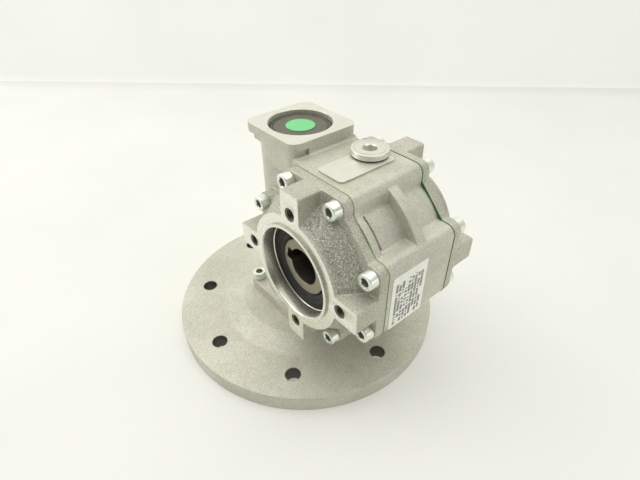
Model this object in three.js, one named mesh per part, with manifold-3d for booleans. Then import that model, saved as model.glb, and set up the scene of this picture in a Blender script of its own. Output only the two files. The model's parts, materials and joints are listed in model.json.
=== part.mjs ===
// Right-angle worm gearbox with a hollow motor input, a hollow output shaft and a round motor flange.
// Millimetres, +Z up. The worm axis is vertical, the output axis is parallel to Y.
import * as THREE from 'three';
import { mergeVertices } from 'three/addons/utils/BufferGeometryUtils.js';
import Module from 'manifold-3d';

const wasm = await Module();
wasm.setup();

// ---------------------------------------------------------------- driving dimensions
const FLANGE_R = 100;
const FLANGE_T = 12.4;
const FLANGE_HOLE_COUNT = 8;
const FLANGE_HOLE_R = 5.4;
const FLANGE_HOLE_PITCH_R = 81;
const SPIGOT_R = 65;
const SPIGOT_DEPTH = 4.2;
const HUB_TOP_Z = 17;
const HUB_TOP_R = 49;
const HUB_FOOT_R = 65;
const FLANGE_BORE_R = 20.5;

const CENTRE_DISTANCE = 52;
const OUTPUT_Z = 96.5;
const BODY_HALF = 53.5;
const BODY_HALF_WIDTH = 26.45;
const GASKET_T = 0.5;
const GASKET_PROUD = 0.25;

const LOBE_R = 5.9;
const COVER_BOLT_PITCH_R = 51.5;
const COVER_PLATE_Y = 33;
const COVER_FACE_Y = 48.8;
const COVER_LIP_Y = 50.3;
const COVER_LIP_R = 31;
const COVER_RING_R = 37.3;
const COVER_BORE_R = 28.2;
const COVER_BLOCK_HALF = 7;
const TAPPED_PITCH_R = 40.5;
const TAPPED_R = 3.4;
const TAPPED_MOUTH_R = 4.1;
const TAPPED_DEPTH = 13;
const BEARING_SEAT_R = 27.75;
const SEAL_STOP_R = 25.2;
const SEAL_STOP_Y = [34.1, 34.8];
const COVER_HUB = { innerY: 23.6, outerR: 33, rootY: 31, spigotR: 41.6 };
const DOME = { footR: 46, shoulderR: 45.5, topY: 46.5 };

const CHAMBER_R = 42.2;
const RIB_R = 55.8;
const RIB_Y = [-2, 5.4];
const LIP_R = 49.9;

const COLUMN_R = 25.5;
const COLUMN_TOP_Z = 158.8;
const COLUMN_BORE_R = 20.2;
const NECK_R = 29;
const NECK_TOP_Z = 45;
const LOWER_SEAT_R = 23.7;
const LOWER_SEAT_TOP_Z = 36.6;
const BASE_HALF = 32.5;
const BASE_CORNER = 6;
const BASE_TOP_Z = 26;
const BASE_BOLT = 26.5;

const TOP_SQUARE = { half: 25.5, corner: 6.5, thickness: 6 };
const TOP_INSET = { half: 23, corner: 6, bottom: 11, top: 5 };
const TOP_BOX = { half: 18, from: 15, bottomZ: 140 };

const PAD = { x: [-10, 11], y: [-22.4, 20], root: 148, top: 151, corner: 3 };
const PLUG = { x: -3, y: 12.5, bossR: 12.8, bossTop: 151.3, headR: 11.5, headT: 3.4, stemR: 6 };

const WORM_MODULE = 3;
const WHEEL_TEETH = 25;
const PRESSURE_ANGLE = 20 * Math.PI / 180;
const WHEEL_PITCH_R = WORM_MODULE * WHEEL_TEETH / 2;
const WORM_PITCH_R = CENTRE_DISTANCE - WHEEL_PITCH_R;
const WORM_TIP_R = WORM_PITCH_R + WORM_MODULE;
const WORM_ROOT_R = WORM_PITCH_R - 1.2 * WORM_MODULE;
const WORM_LEAD = Math.PI * WORM_MODULE;
const WORM_THREAD_HALF_LENGTH = 22;
const THREAD_T = 4.2;
const TOOTH_T = 4.2;
const RIM_HALF_WIDTH = 11;
const RIM_TIP_R = 41.4;
const RIM_BORE_R = 29.5;
const HUB_HALF_WIDTH = 17;
const SPACER_R = 21;

const SHAFT_HALF_LENGTH = 41.4;
const SHAFT_R = 17.9;
const SHAFT_BORE_R = 11.5;
const KEYWAY_HALF = 4;
const KEYWAY_R = 14.9;
const KEYWAY_ANGLE = 166;
const WHEEL_KEY = { half: 4, halfLength: 11.9, bottom: 15, top: 21 };

const M6 = { shankR: 2.95, headR: 5, headT: 6, hexAcross: 5, hexDepth: 3.2 };
const LONG_BOLT = 20;
const SHORT_BOLT = 11;
const THREAD_HOLE_R = 3.25;
const CLEAR_HOLE_R = 3.35;

const PLATE = { y: [-23.4, 4.6], z: [74.5, 113.2], corner: 1.2, thickness: 0.3 };
const CAP = { r: COLUMN_BORE_R - 0.1, bottom: 151.5, floor: 155.4, rim: 156.2, rimR: 18.2, floorR: 17.6 };
const DISC = { r: 9.35, top: 156.6 };
const INPUT_SEAL = { inner: 12.7, outer: 23.5, width: 6.8 };
const OUTPUT_SEAL = { width: 6.6, faceY: 41.6 };

const OUTPUT_X = CENTRE_DISTANCE;

// Facet counts for round surfaces.
const ROUND_LARGE = 64;
const ROUND = 36;
const ROUND_INNER = 28;
const ROUND_BOLT = 12;
const ROUND_HOLE = 8;

// ---------------------------------------------------------------- materials
function material(color, metalness, roughness) {
  return new THREE.MeshStandardMaterial({ color, metalness, roughness });
}
const CAST = material(0xbfbeb0, 0.6, 0.6);
const MACHINED = material(0xd6d6cc, 0.8, 0.35);
const ZINC = material(0xc9d2c6, 0.8, 0.35);
const STEEL = material(0x9a9a92, 0.9, 0.35);
const BEARING = material(0xb9bcbe, 0.95, 0.2);
const IRON = material(0x55565a, 0.6, 0.5);
const BRONZE = material(0xb78a45, 0.85, 0.4);
const RUBBER = material(0x2b3033, 0, 0.8);
const GASKET = material(0x3f7d48, 0, 0.8);
const GREEN = material(0x8ce49b, 0, 0.5);
const PAPER = material(0xdedfd6, 0, 0.7);

// ---------------------------------------------------------------- solid helpers
function signedVolume(position, index) {
  const a = new THREE.Vector3();
  const b = new THREE.Vector3();
  const c = new THREE.Vector3();
  let sum = 0;
  for (let i = 0; i < index.length; i += 3) {
    a.fromBufferAttribute(position, index[i]);
    b.fromBufferAttribute(position, index[i + 1]);
    c.fromBufferAttribute(position, index[i + 2]);
    sum += a.dot(b.cross(c));
  }
  return sum / 6;
}

function toSolid(geometry) {
  const bare = geometry.clone();
  bare.deleteAttribute('normal');
  bare.deleteAttribute('uv');
  const merged = mergeVertices(bare, 1e-5);
  const position = merged.getAttribute('position');
  const source = merged.getIndex().array;
  const flip = signedVolume(position, source) < 0;
  const index = [];
  for (let i = 0; i < source.length; i += 3) {
    const [p, q, r] = [source[i], source[i + 1], source[i + 2]];
    if (p === q || q === r || r === p) {
      continue;
    }
    index.push(p, flip ? r : q, flip ? q : r);
  }
  const mesh = new wasm.Mesh({
    numProp: 3,
    vertProperties: new Float32Array(position.array),
    triVerts: new Uint32Array(index),
  });
  return new wasm.Manifold(mesh);
}

function toGeometry(solid) {
  const mesh = solid.getMesh();
  const geometry = new THREE.BufferGeometry();
  geometry.setAttribute('position', new THREE.BufferAttribute(new Float32Array(mesh.vertProperties), 3));
  geometry.setIndex(new THREE.BufferAttribute(new Uint32Array(mesh.triVerts), 1));
  return geometry;
}

function join(...solids) {
  return solids.reduce((all, next) => all.add(next));
}

function cut(base, ...tools) {
  return tools.reduce((left, tool) => left.subtract(tool), base);
}

// A closed or axis-to-axis profile of [radius, height] pairs, turned about the Z axis.
function latheZ(profile, segments, x = 0, y = 0) {
  const points = profile.map(([r, z]) => new THREE.Vector2(r, z));
  if (profile[0][0] > 0) {
    points.push(points[0].clone());
  }
  const geometry = new THREE.LatheGeometry(points, segments);
  geometry.rotateX(Math.PI / 2);
  geometry.translate(x, y, 0);
  return toSolid(geometry);
}

// The same profile turned about an axis along Y through (x, z).
function latheY(profile, segments, x = OUTPUT_X, z = OUTPUT_Z) {
  const points = profile.map(([r, y]) => new THREE.Vector2(r, y));
  if (profile[0][0] > 0) {
    points.push(points[0].clone());
  }
  const geometry = new THREE.LatheGeometry(points, segments);
  geometry.translate(x, 0, z);
  return toSolid(geometry);
}

function rodZ(radius, z0, z1, segments, x = 0, y = 0) {
  return latheZ([[0, z0], [radius, z0], [radius, z1], [0, z1]], segments, x, y);
}

function rodY(radius, y0, y1, segments, x = OUTPUT_X, z = OUTPUT_Z) {
  return latheY([[0, y0], [radius, y0], [radius, y1], [0, y1]], segments, x, z);
}

function ringZ(inner, outer, z0, z1, segments) {
  return latheZ([[inner, z0], [outer, z0], [outer, z1], [inner, z1]], segments);
}

function ringY(inner, outer, y0, y1, segments) {
  return latheY([[inner, y0], [outer, y0], [outer, y1], [inner, y1]], segments);
}

function box(x, y, z) {
  const geometry = new THREE.BoxGeometry(x[1] - x[0], y[1] - y[0], z[1] - z[0]);
  geometry.translate((x[0] + x[1]) / 2, (y[0] + y[1]) / 2, (z[0] + z[1]) / 2);
  return toSolid(geometry);
}

function prismZ(outline, z0, z1) {
  const shape = new THREE.Shape(outline.map(([x, y]) => new THREE.Vector2(x, y)));
  const geometry = new THREE.ExtrudeGeometry(shape, { depth: z1 - z0, bevelEnabled: false });
  geometry.translate(0, 0, z0);
  return toSolid(geometry);
}

// An outline in the X-Z plane, swept along Y.
function prismY(outline, y0, y1) {
  const shape = new THREE.Shape(outline.map(([x, z]) => new THREE.Vector2(x, z)));
  const geometry = new THREE.ExtrudeGeometry(shape, { depth: y1 - y0, bevelEnabled: false });
  geometry.rotateX(Math.PI / 2);
  geometry.translate(0, y1, 0);
  return toSolid(geometry);
}

// An outline in the Y-Z plane, swept along X.
function prismX(outline, x0, x1) {
  const shape = new THREE.Shape(outline.map(([y, z]) => new THREE.Vector2(y, z)));
  const geometry = new THREE.ExtrudeGeometry(shape, { depth: x1 - x0, bevelEnabled: false });
  geometry.rotateX(Math.PI / 2);
  geometry.rotateZ(Math.PI / 2);
  geometry.translate(x0, 0, 0);
  return toSolid(geometry);
}

function turnAboutOutput(solid, degrees) {
  const centred = solid.translate([-OUTPUT_X, 0, -OUTPUT_Z]);
  return centred.rotate([0, degrees, 0]).translate([OUTPUT_X, 0, OUTPUT_Z]);
}

function roundedRect(x0, x1, y0, y1, radius, steps) {
  const corners = [[x1 - radius, y1 - radius], [x0 + radius, y1 - radius],
    [x0 + radius, y0 + radius], [x1 - radius, y0 + radius]];
  const points = [];
  corners.forEach(([cx, cy], quarter) => {
    for (let i = 0; i <= steps; i += 1) {
      const angle = (quarter + i / steps) * Math.PI / 2;
      points.push([cx + radius * Math.cos(angle), cy + radius * Math.sin(angle)]);
    }
  });
  return points;
}

// ---------------------------------------------------------------- shared outlines
// The body and covers share one outline: a square with a bolt lobe either side of each cut corner.
function bodyOutline(grow) {
  const lobe = [COVER_BOLT_PITCH_R * Math.cos(Math.PI / 8), COVER_BOLT_PITCH_R * Math.sin(Math.PI / 8)];
  const radius = LOBE_R + grow;
  const corner = 41.9 + grow / 2;
  const arcSteps = 3;
  const quarter = [];
  for (let i = 0; i <= arcSteps; i += 1) {
    const angle = i / arcSteps * Math.PI / 2;
    quarter.push([lobe[0] + radius * Math.cos(angle), lobe[1] + radius * Math.sin(angle)]);
  }
  const side = lobe[1] + radius;
  quarter.push([corner + 0.6, side]);
  quarter.push([corner, side + 0.8]);
  quarter.push([side + 0.8, corner]);
  quarter.push([side, corner + 0.6]);
  for (let i = 0; i <= arcSteps; i += 1) {
    const angle = i / arcSteps * Math.PI / 2;
    quarter.push([lobe[1] + radius * Math.cos(angle), lobe[0] + radius * Math.sin(angle)]);
  }
  const points = [];
  for (let turn = 0; turn < 4; turn += 1) {
    const [c, s] = [[1, 0], [0, 1], [-1, 0], [0, -1]][turn];
    quarter.forEach(([x, z]) => points.push([OUTPUT_X + x * c - z * s, OUTPUT_Z + x * s + z * c]));
  }
  return points;
}

function coverBoltPositions() {
  const places = [];
  for (let i = 0; i < 8; i += 1) {
    const angle = (i + 0.5) * Math.PI / 4;
    const x = OUTPUT_X + COVER_BOLT_PITCH_R * Math.cos(angle);
    const z = OUTPUT_Z + COVER_BOLT_PITCH_R * Math.sin(angle);
    places.push([x, z, x < COLUMN_BORE_R ? SHORT_BOLT : LONG_BOLT]);
  }
  return places;
}

const BASE_BOLT_PLACES = [[1, 1], [-1, 1], [-1, -1], [1, -1]].map(
  ([x, y]) => [x * BASE_BOLT, y * BASE_BOLT]);

// ---------------------------------------------------------------- cast parts
function mainHousing() {
  const [low, high] = [OUTPUT_Z - BODY_HALF, OUTPUT_Z + BODY_HALF];
  const ribLimits = box([OUTPUT_X - BODY_HALF, OUTPUT_X + BODY_HALF], [-10, 10], [low, high]);
  const square = (half, corner, steps) => roundedRect(-half, half, -half, half, corner, steps);
  const pad = roundedRect(OUTPUT_X + PAD.x[0], OUTPUT_X + PAD.x[1], PAD.y[0], PAD.y[1], PAD.corner, 2);
  const topPlateZ = COLUMN_TOP_Z - TOP_SQUARE.thickness;
  const insetZ = [COLUMN_TOP_Z - TOP_INSET.bottom, COLUMN_TOP_Z - TOP_INSET.top];
  const [plugX, plugY] = [OUTPUT_X + PLUG.x, PLUG.y];
  const solid = join(
    prismY(bodyOutline(0), -BODY_HALF_WIDTH, BODY_HALF_WIDTH),
    rodY(LIP_R, -BODY_HALF_WIDTH, -23, ROUND),
    rodY(RIB_R, RIB_Y[0], RIB_Y[1], ROUND_LARGE).intersect(ribLimits),
    rodZ(COLUMN_R, BASE_TOP_Z - 1, COLUMN_TOP_Z - 8, ROUND),
    rodZ(NECK_R, BASE_TOP_Z - 1, NECK_TOP_Z, ROUND),
    prismZ(square(BASE_HALF, BASE_CORNER, 3), HUB_TOP_Z, BASE_TOP_Z),
    prismZ(square(TOP_SQUARE.half, TOP_SQUARE.corner, 4), topPlateZ, COLUMN_TOP_Z),
    prismZ(square(TOP_INSET.half, TOP_INSET.corner, 3), insetZ[0], insetZ[1]),
    box([TOP_BOX.from, COLUMN_R], [-TOP_BOX.half, TOP_BOX.half], [TOP_BOX.bottomZ, COLUMN_TOP_Z - 3]),
    prismZ(pad, PAD.root, PAD.top),
    rodZ(PLUG.bossR, PAD.root, PLUG.bossTop, ROUND_INNER, plugX, plugY),
  );
  const boltHoles = coverBoltPositions().flatMap(([x, z, length]) => {
    const end = COVER_PLATE_Y - length - 0.8;
    const mouth = BODY_HALF_WIDTH + 1;
    return [-1, 1].map((side) => rodY(THREAD_HOLE_R, side * end, side * mouth, ROUND_HOLE, x, z));
  });
  const baseHoles = BASE_BOLT_PLACES.map(([x, y]) => (
    rodZ(CLEAR_HOLE_R, HUB_TOP_Z - 1, BASE_TOP_Z + 1, ROUND_HOLE, x, y)));
  return cut(
    solid,
    rodY(CHAMBER_R, -BODY_HALF_WIDTH - 1, BODY_HALF_WIDTH + 1, ROUND),
    latheZ([[0, HUB_TOP_Z - 1], [LOWER_SEAT_R, HUB_TOP_Z - 1], [LOWER_SEAT_R, LOWER_SEAT_TOP_Z],
      [COLUMN_BORE_R, LOWER_SEAT_TOP_Z], [COLUMN_BORE_R, COLUMN_TOP_Z - 0.9],
      [COLUMN_BORE_R + 1.1, COLUMN_TOP_Z + 0.2], [0, COLUMN_TOP_Z + 0.2]], ROUND),
    rodZ(PLUG.stemR + 0.4, 130, PLUG.bossTop + 1, ROUND_BOLT, plugX, plugY),
    ...boltHoles,
    ...baseHoles,
  );
}

function motorFlange() {
  const solid = latheZ([
    [FLANGE_BORE_R, SPIGOT_DEPTH], [SPIGOT_R, SPIGOT_DEPTH], [SPIGOT_R, 0], [FLANGE_R, 0],
    [FLANGE_R, FLANGE_T - 1], [FLANGE_R - 1, FLANGE_T], [HUB_FOOT_R, FLANGE_T], [HUB_TOP_R, HUB_TOP_Z],
    [FLANGE_BORE_R, HUB_TOP_Z],
  ], ROUND_LARGE);
  const rimHoles = [];
  for (let i = 0; i < FLANGE_HOLE_COUNT; i += 1) {
    const angle = i * 2 * Math.PI / FLANGE_HOLE_COUNT;
    rimHoles.push(rodZ(FLANGE_HOLE_R, -1, FLANGE_T + 1, ROUND_BOLT,
      FLANGE_HOLE_PITCH_R * Math.cos(angle), FLANGE_HOLE_PITCH_R * Math.sin(angle)));
  }
  const bolts = BASE_BOLT_PLACES.map(([x, y]) => rodZ(THREAD_HOLE_R, 7, HUB_TOP_Z + 1, ROUND_HOLE, x, y));
  return cut(solid, ...rimHoles, ...bolts);
}

// Built for the -Y side. Distances run outwards from the middle of the box.
function frontCover() {
  const innerFace = -BODY_HALF_WIDTH - GASKET_T;
  const hub = latheY([
    [BEARING_SEAT_R, -COVER_HUB.innerY], [COVER_HUB.outerR, -COVER_HUB.innerY],
    [COVER_HUB.outerR, -COVER_HUB.rootY], [COVER_HUB.spigotR, -COVER_HUB.rootY],
    [COVER_HUB.spigotR, innerFace], [DOME.shoulderR, innerFace], [DOME.footR, -COVER_PLATE_Y],
    [COVER_RING_R, -DOME.topY], [COVER_RING_R, -COVER_FACE_Y],
    [COVER_LIP_R, -COVER_FACE_Y], [COVER_LIP_R, -COVER_LIP_Y],
    [COVER_BORE_R + 1, -COVER_LIP_Y], [COVER_BORE_R, -COVER_LIP_Y + 1], [COVER_BORE_R, -SEAL_STOP_Y[1]],
    [SEAL_STOP_R, -SEAL_STOP_Y[1]], [SEAL_STOP_R, -SEAL_STOP_Y[0]], [BEARING_SEAT_R, -SEAL_STOP_Y[0]],
  ], ROUND);
  const plate = cut(
    prismY(bodyOutline(0), -COVER_PLATE_Y, innerFace),
    rodY(CHAMBER_R + 0.8, -COVER_PLATE_Y - 1, -20, ROUND),
  );
  const blockOutline = [[-COVER_BLOCK_HALF - 0.5, 33], [COVER_BLOCK_HALF + 0.5, 33],
    [COVER_BLOCK_HALF + 0.5, BODY_HALF - 1.2], [COVER_BLOCK_HALF - 0.7, BODY_HALF],
    [-COVER_BLOCK_HALF + 0.7, BODY_HALF], [-COVER_BLOCK_HALF - 0.5, BODY_HALF - 1.2]];
  const placed = blockOutline.map(([x, z]) => [OUTPUT_X + x, OUTPUT_Z + z]);
  const block = prismY(placed, -COVER_FACE_Y, -COVER_PLATE_Y + 1);
  const tapped = latheY([
    [0, -COVER_FACE_Y - 1], [TAPPED_MOUTH_R, -COVER_FACE_Y - 1], [TAPPED_MOUTH_R, -COVER_FACE_Y],
    [TAPPED_R, -COVER_FACE_Y + 0.8], [TAPPED_R, -COVER_FACE_Y + TAPPED_DEPTH],
    [0, -COVER_FACE_Y + TAPPED_DEPTH + 2],
  ], ROUND_BOLT, OUTPUT_X, OUTPUT_Z + TAPPED_PITCH_R);
  let solid = hub.add(plate);
  for (let i = 0; i < 4; i += 1) {
    solid = solid.add(turnAboutOutput(block, i * 90));
  }
  for (let i = 0; i < 4; i += 1) {
    solid = solid.subtract(turnAboutOutput(tapped, i * 90));
  }
  const holes = coverBoltPositions().map(([x, z]) => (
    rodY(CLEAR_HOLE_R, -COVER_PLATE_Y - 1, -20, ROUND_HOLE, x, z)));
  return cut(solid, ...holes);
}

function coverGasket() {
  const y0 = -BODY_HALF_WIDTH - GASKET_T;
  const holes = coverBoltPositions().map(([x, z]) => rodY(CLEAR_HOLE_R, y0 - 1, y0 + 2, ROUND_HOLE, x, z));
  const sheet = prismY(bodyOutline(GASKET_PROUD), y0, -BODY_HALF_WIDTH);
  return cut(sheet, rodY(CHAMBER_R, y0 - 1, y0 + 2, ROUND), ...holes);
}

// The same part on the far side: half a turn about the vertical line through the box's centre.
function toRear(solid) {
  return solid.translate([-OUTPUT_X, 0, 0]).rotate([0, 0, 180]).translate([OUTPUT_X, 0, 0]);
}

// ---------------------------------------------------------------- hardware
// A socket head cap screw pointing down, its head seated at z = 0.
function capScrew(length) {
  const body = latheZ([[0, -length], [M6.shankR, -length], [M6.shankR, 0], [M6.headR, 0],
    [M6.headR, M6.headT - 0.6], [M6.headR - 0.6, M6.headT], [0, M6.headT]], ROUND_BOLT);
  const socket = rodZ(M6.hexAcross / Math.sqrt(3), M6.headT - M6.hexDepth, M6.headT + 1, 6);
  return body.subtract(socket);
}

function coverBolt(x, z, length, side) {
  return capScrew(length).rotate([side < 0 ? 90 : -90, 0, 0]).translate([x, side * COVER_PLATE_Y, z]);
}

function oilPlug() {
  const base = PLUG.bossTop + 0.5;
  const top = base + PLUG.headT;
  const [x, y] = [OUTPUT_X + PLUG.x, PLUG.y];
  const body = latheZ([[0, base - 9], [PLUG.stemR, base - 9], [PLUG.stemR, base], [PLUG.headR, base],
    [PLUG.headR, top - 0.4], [PLUG.headR - 0.4, top], [0, top]], ROUND_INNER, x, y);
  return body.subtract(rodZ(4 / Math.cos(Math.PI / 6), top - 5, top + 1, 6, x, y));
}

function plugWasher() {
  const ring = ringZ(PLUG.stemR + 0.3, PLUG.headR - 0.5, PLUG.bossTop, PLUG.bossTop + 0.5, 20);
  return ring.translate([OUTPUT_X + PLUG.x, PLUG.y, 0]);
}

function ratingPlate() {
  const outline = roundedRect(...PLATE.y, ...PLATE.z, PLATE.corner, 2);
  const face = OUTPUT_X + BODY_HALF;
  return prismX(outline, face, face + PLATE.thickness);
}

function wormEndCap() {
  return latheZ([[0, CAP.bottom], [CAP.r, CAP.bottom], [CAP.r, CAP.rim], [CAP.rimR, CAP.rim],
    [CAP.floorR, CAP.floor], [0, CAP.floor]], ROUND);
}

// ---------------------------------------------------------------- bearings and seals
// Profiles run along the axis from 0 to width; the same functions serve both axes.
function bearingProfiles(inner, outer, width) {
  const race = (outer - inner) * 0.3;
  const [r1, r2] = [inner + race, outer - race];
  return {
    innerRing: [[inner, 0], [r1, 0], [r1, width], [inner, width]],
    outerRing: [[r2, 0], [outer, 0], [outer, width], [r2, width]],
    gap: [r1, r2],
  };
}

// A cage ring with its balls, one closed body, centred on z = 0.
function ballSet([r1, r2], count, width) {
  const pitch = (r1 + r2) / 2;
  const ballR = (r2 - r1) / 2 - 0.25;
  const cage = latheZ([[pitch - 0.7, -ballR * 0.55], [pitch + 0.7, -ballR * 0.55],
    [pitch + 0.7, ballR * 0.55], [pitch - 0.7, ballR * 0.55]], 16);
  const balls = [];
  for (let i = 0; i < count; i += 1) {
    const angle = i * 2 * Math.PI / count;
    const ball = new THREE.IcosahedronGeometry(ballR, 0);
    ball.translate(pitch * Math.cos(angle), pitch * Math.sin(angle), 0);
    balls.push(toSolid(ball));
  }
  return join(cage, ...balls).translate([0, 0, width / 2]);
}

function sealProfile(inner, outer, width) {
  const wall = 1.8;
  return [[inner, 0], [outer, 0], [outer, width], [outer - wall, width],
    [outer - wall, 2.4], [inner + 2.6, 2.4],
    [inner + 1.4, width * 0.7], [inner, width * 0.6]];
}

function shifted(profile, start, direction) {
  return profile.map(([r, along]) => [r, start + direction * along]);
}

// ---------------------------------------------------------------- worm
function helixPoint(radius, turn, z) {
  const angle = turn * 2 * Math.PI;
  return [radius * Math.cos(angle), radius * Math.sin(angle), OUTPUT_Z + z];
}

function wormThread() {
  const stepsPerTurn = 18;
  const steps = Math.floor(2 * WORM_THREAD_HALF_LENGTH / WORM_LEAD * stepsPerTurn / 2) * 2;
  const slope = Math.tan(PRESSURE_ANGLE);
  const inner = WORM_ROOT_R - 0.8;
  const halfAt = (radius) => THREAD_T / 2 - (radius - WORM_PITCH_R) * slope;
  const position = [];
  for (let i = 0; i <= steps; i += 1) {
    const turn = (i - steps / 2) / stepsPerTurn;
    const z = turn * WORM_LEAD;
    const taper = Math.min(1, Math.min(i, steps - i) / (stepsPerTurn * 0.35));
    const tip = WORM_ROOT_R - 0.4 + (WORM_TIP_R - WORM_ROOT_R + 0.4) * taper;
    position.push(...helixPoint(inner, turn, z - halfAt(inner)));
    position.push(...helixPoint(tip, turn, z - halfAt(tip)));
    position.push(...helixPoint(tip, turn, z + halfAt(tip)));
    position.push(...helixPoint(inner, turn, z + halfAt(inner)));
  }
  const index = [0, 1, 2, 0, 2, 3];
  for (let i = 0; i < steps; i += 1) {
    for (let k = 0; k < 4; k += 1) {
      const [a, b] = [4 * i + k, 4 * i + (k + 1) % 4];
      index.push(a, a + 4, b + 4, a, b + 4, b);
    }
  }
  const last = 4 * steps;
  index.push(last, last + 2, last + 1, last, last + 3, last + 2);
  const geometry = new THREE.BufferGeometry();
  geometry.setAttribute('position', new THREE.BufferAttribute(new Float32Array(position), 3));
  geometry.setIndex(index);
  return toSolid(geometry);
}

const LOWER_BEARING = { z: 24.3, width: 12, inner: 12.5, outer: 23.6 };
const UPPER_BEARING = { z: 136.5, width: 12, inner: 8.5, outer: 20.1 };
const OUTPUT_BEARING = { y: 24.0, width: 10, inner: SHAFT_R, outer: 27.6 };

function wormShaft() {
  const shoulder = LOWER_BEARING.z + LOWER_BEARING.width;
  const topSeat = UPPER_BEARING.z;
  const core = latheZ([
    [0, 46], [9.5, 44], [9.5, 8], [12, 8], [LOWER_BEARING.inner, 8.5], [LOWER_BEARING.inner, shoulder],
    [15, shoulder], [15, shoulder + 3], [12.4, shoulder + 6],
    [12.4, OUTPUT_Z - 25], [WORM_ROOT_R, OUTPUT_Z - 23],
    [WORM_ROOT_R, OUTPUT_Z + 23], [12.4, OUTPUT_Z + 25], [12.4, topSeat], [UPPER_BEARING.inner, topSeat],
    [UPPER_BEARING.inner, topSeat + 13.7], [0, topSeat + 13.7],
  ], ROUND_INNER);
  const keyway = box([0, 11.6], [-3, 3], [7, 40]);
  return core.add(wormThread()).subtract(keyway);
}

// ---------------------------------------------------------------- output shaft and wheel
function involute(angle) {
  return Math.tan(angle) - angle;
}

function toothHalfAngle(radius) {
  const base = WHEEL_PITCH_R * Math.cos(PRESSURE_ANGLE);
  const at = Math.acos(Math.min(1, base / Math.max(radius, base)));
  return TOOTH_T / (2 * WHEEL_PITCH_R) + involute(PRESSURE_ANGLE) - involute(at);
}

// Tooth sections at several distances from the mid-plane, each turned to follow the worm's helix.
function wheelRim() {
  const levels = [-1, -0.55, 0, 0.55, 1].map((t) => t * RIM_HALF_WIDTH);
  const perTooth = 6;
  const count = WHEEL_TEETH * perTooth;
  const position = [];
  levels.forEach((y) => {
    const root = CENTRE_DISTANCE - Math.sqrt((WORM_TIP_R + 0.6) ** 2 - y * y);
    const throat = CENTRE_DISTANCE - Math.sqrt(Math.max((WORM_ROOT_R + 0.6) ** 2 - y * y, 9));
    const tip = Math.min(throat, RIM_TIP_R);
    const shift = WORM_LEAD / (2 * Math.PI) * Math.atan2(y, WORM_PITCH_R) / WHEEL_PITCH_R;
    for (let k = 0; k < WHEEL_TEETH; k += 1) {
      const centre = Math.PI + (k + 0.5) * 2 * Math.PI / WHEEL_TEETH - shift;
      const radii = [root, (root + tip) / 2, tip];
      const profile = [...radii.map((r) => [r, -toothHalfAngle(r)]),
        ...radii.slice().reverse().map((r) => [r, toothHalfAngle(r)])];
      profile.forEach(([r, a]) => {
        position.push(OUTPUT_X + r * Math.cos(centre + a), y, OUTPUT_Z + r * Math.sin(centre + a));
      });
    }
  });
  const centreStart = levels.length * count;
  levels.forEach((y) => position.push(OUTPUT_X, y, OUTPUT_Z));
  const index = [];
  for (let level = 0; level < levels.length - 1; level += 1) {
    for (let i = 0; i < count; i += 1) {
      const a = level * count + i;
      const b = level * count + (i + 1) % count;
      index.push(a, a + count, b + count, a, b + count, b);
    }
  }
  const topStart = (levels.length - 1) * count;
  for (let i = 0; i < count; i += 1) {
    const next = (i + 1) % count;
    index.push(centreStart, i, next);
    index.push(centreStart + levels.length - 1, topStart + next, topStart + i);
  }
  const geometry = new THREE.BufferGeometry();
  geometry.setAttribute('position', new THREE.BufferAttribute(new Float32Array(position), 3));
  geometry.setIndex(index);
  return toSolid(geometry).subtract(rodY(RIM_BORE_R, -20, 20, ROUND));
}

// The pocket that the wheel's key sits in, in the shaft and in the hub.
function keySeat(z0, z1) {
  const half = WHEEL_KEY.half + 0.1;
  const halfLength = WHEEL_KEY.halfLength + 0.1;
  return box([OUTPUT_X - half, OUTPUT_X + half], [-halfLength, halfLength], [z0, z1]);
}

function wheelHub() {
  const half = HUB_HALF_WIDTH;
  const profile = [[SHAFT_R + 0.1, -half], [24, -half], [25.5, -RIM_HALF_WIDTH],
    [RIM_BORE_R - 0.2, -RIM_HALF_WIDTH], [RIM_BORE_R - 0.2, RIM_HALF_WIDTH],
    [25.5, RIM_HALF_WIDTH], [24, half],
    [SHAFT_R + 0.1, half]];
  return latheY(profile, ROUND_INNER).subtract(keySeat(OUTPUT_Z, OUTPUT_Z + WHEEL_KEY.top + 0.2));
}

function outputShaft() {
  const half = SHAFT_HALF_LENGTH;
  const tube = latheY([[SHAFT_BORE_R + 0.8, -half], [SHAFT_R - 0.6, -half], [SHAFT_R, -half + 0.6],
    [SHAFT_R, half - 0.6], [SHAFT_R - 0.6, half], [SHAFT_BORE_R + 0.8, half], [SHAFT_BORE_R, half - 0.8],
    [SHAFT_BORE_R, -half + 0.8]], ROUND_INNER);
  const slot = turnAboutOutput(box([OUTPUT_X, OUTPUT_X + KEYWAY_R], [-half - 1, half + 1],
    [OUTPUT_Z - KEYWAY_HALF, OUTPUT_Z + KEYWAY_HALF]), -KEYWAY_ANGLE);
  return cut(tube, slot, keySeat(OUTPUT_Z + WHEEL_KEY.bottom - 0.1, OUTPUT_Z + SHAFT_R + 1.1));
}

function wheelKey() {
  const { half, halfLength, bottom, top } = WHEEL_KEY;
  const z = [OUTPUT_Z + bottom, OUTPUT_Z + top];
  return box([OUTPUT_X - half, OUTPUT_X + half], [-halfLength, halfLength], z);
}

// ---------------------------------------------------------------- assembly
const group = new THREE.Group();
group.name = 'worm_gearbox';
const CENTRE_SHIFT = (FLANGE_R - OUTPUT_X - BODY_HALF) / 2;

function place(name, solid, look) {
  const geometry = toGeometry(solid.translate([CENTRE_SHIFT, 0, 0]));
  const mesh = new THREE.Mesh(geometry, look);
  mesh.name = name;
  group.add(mesh);
}

place('main_housing', mainHousing(), CAST);
place('motor_flange', motorFlange(), CAST);
BASE_BOLT_PLACES.forEach(([x, y], i) => {
  place(`flange_bolt_${i + 1}`, capScrew(17).translate([x, y, BASE_TOP_Z]), ZINC);
});

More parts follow.
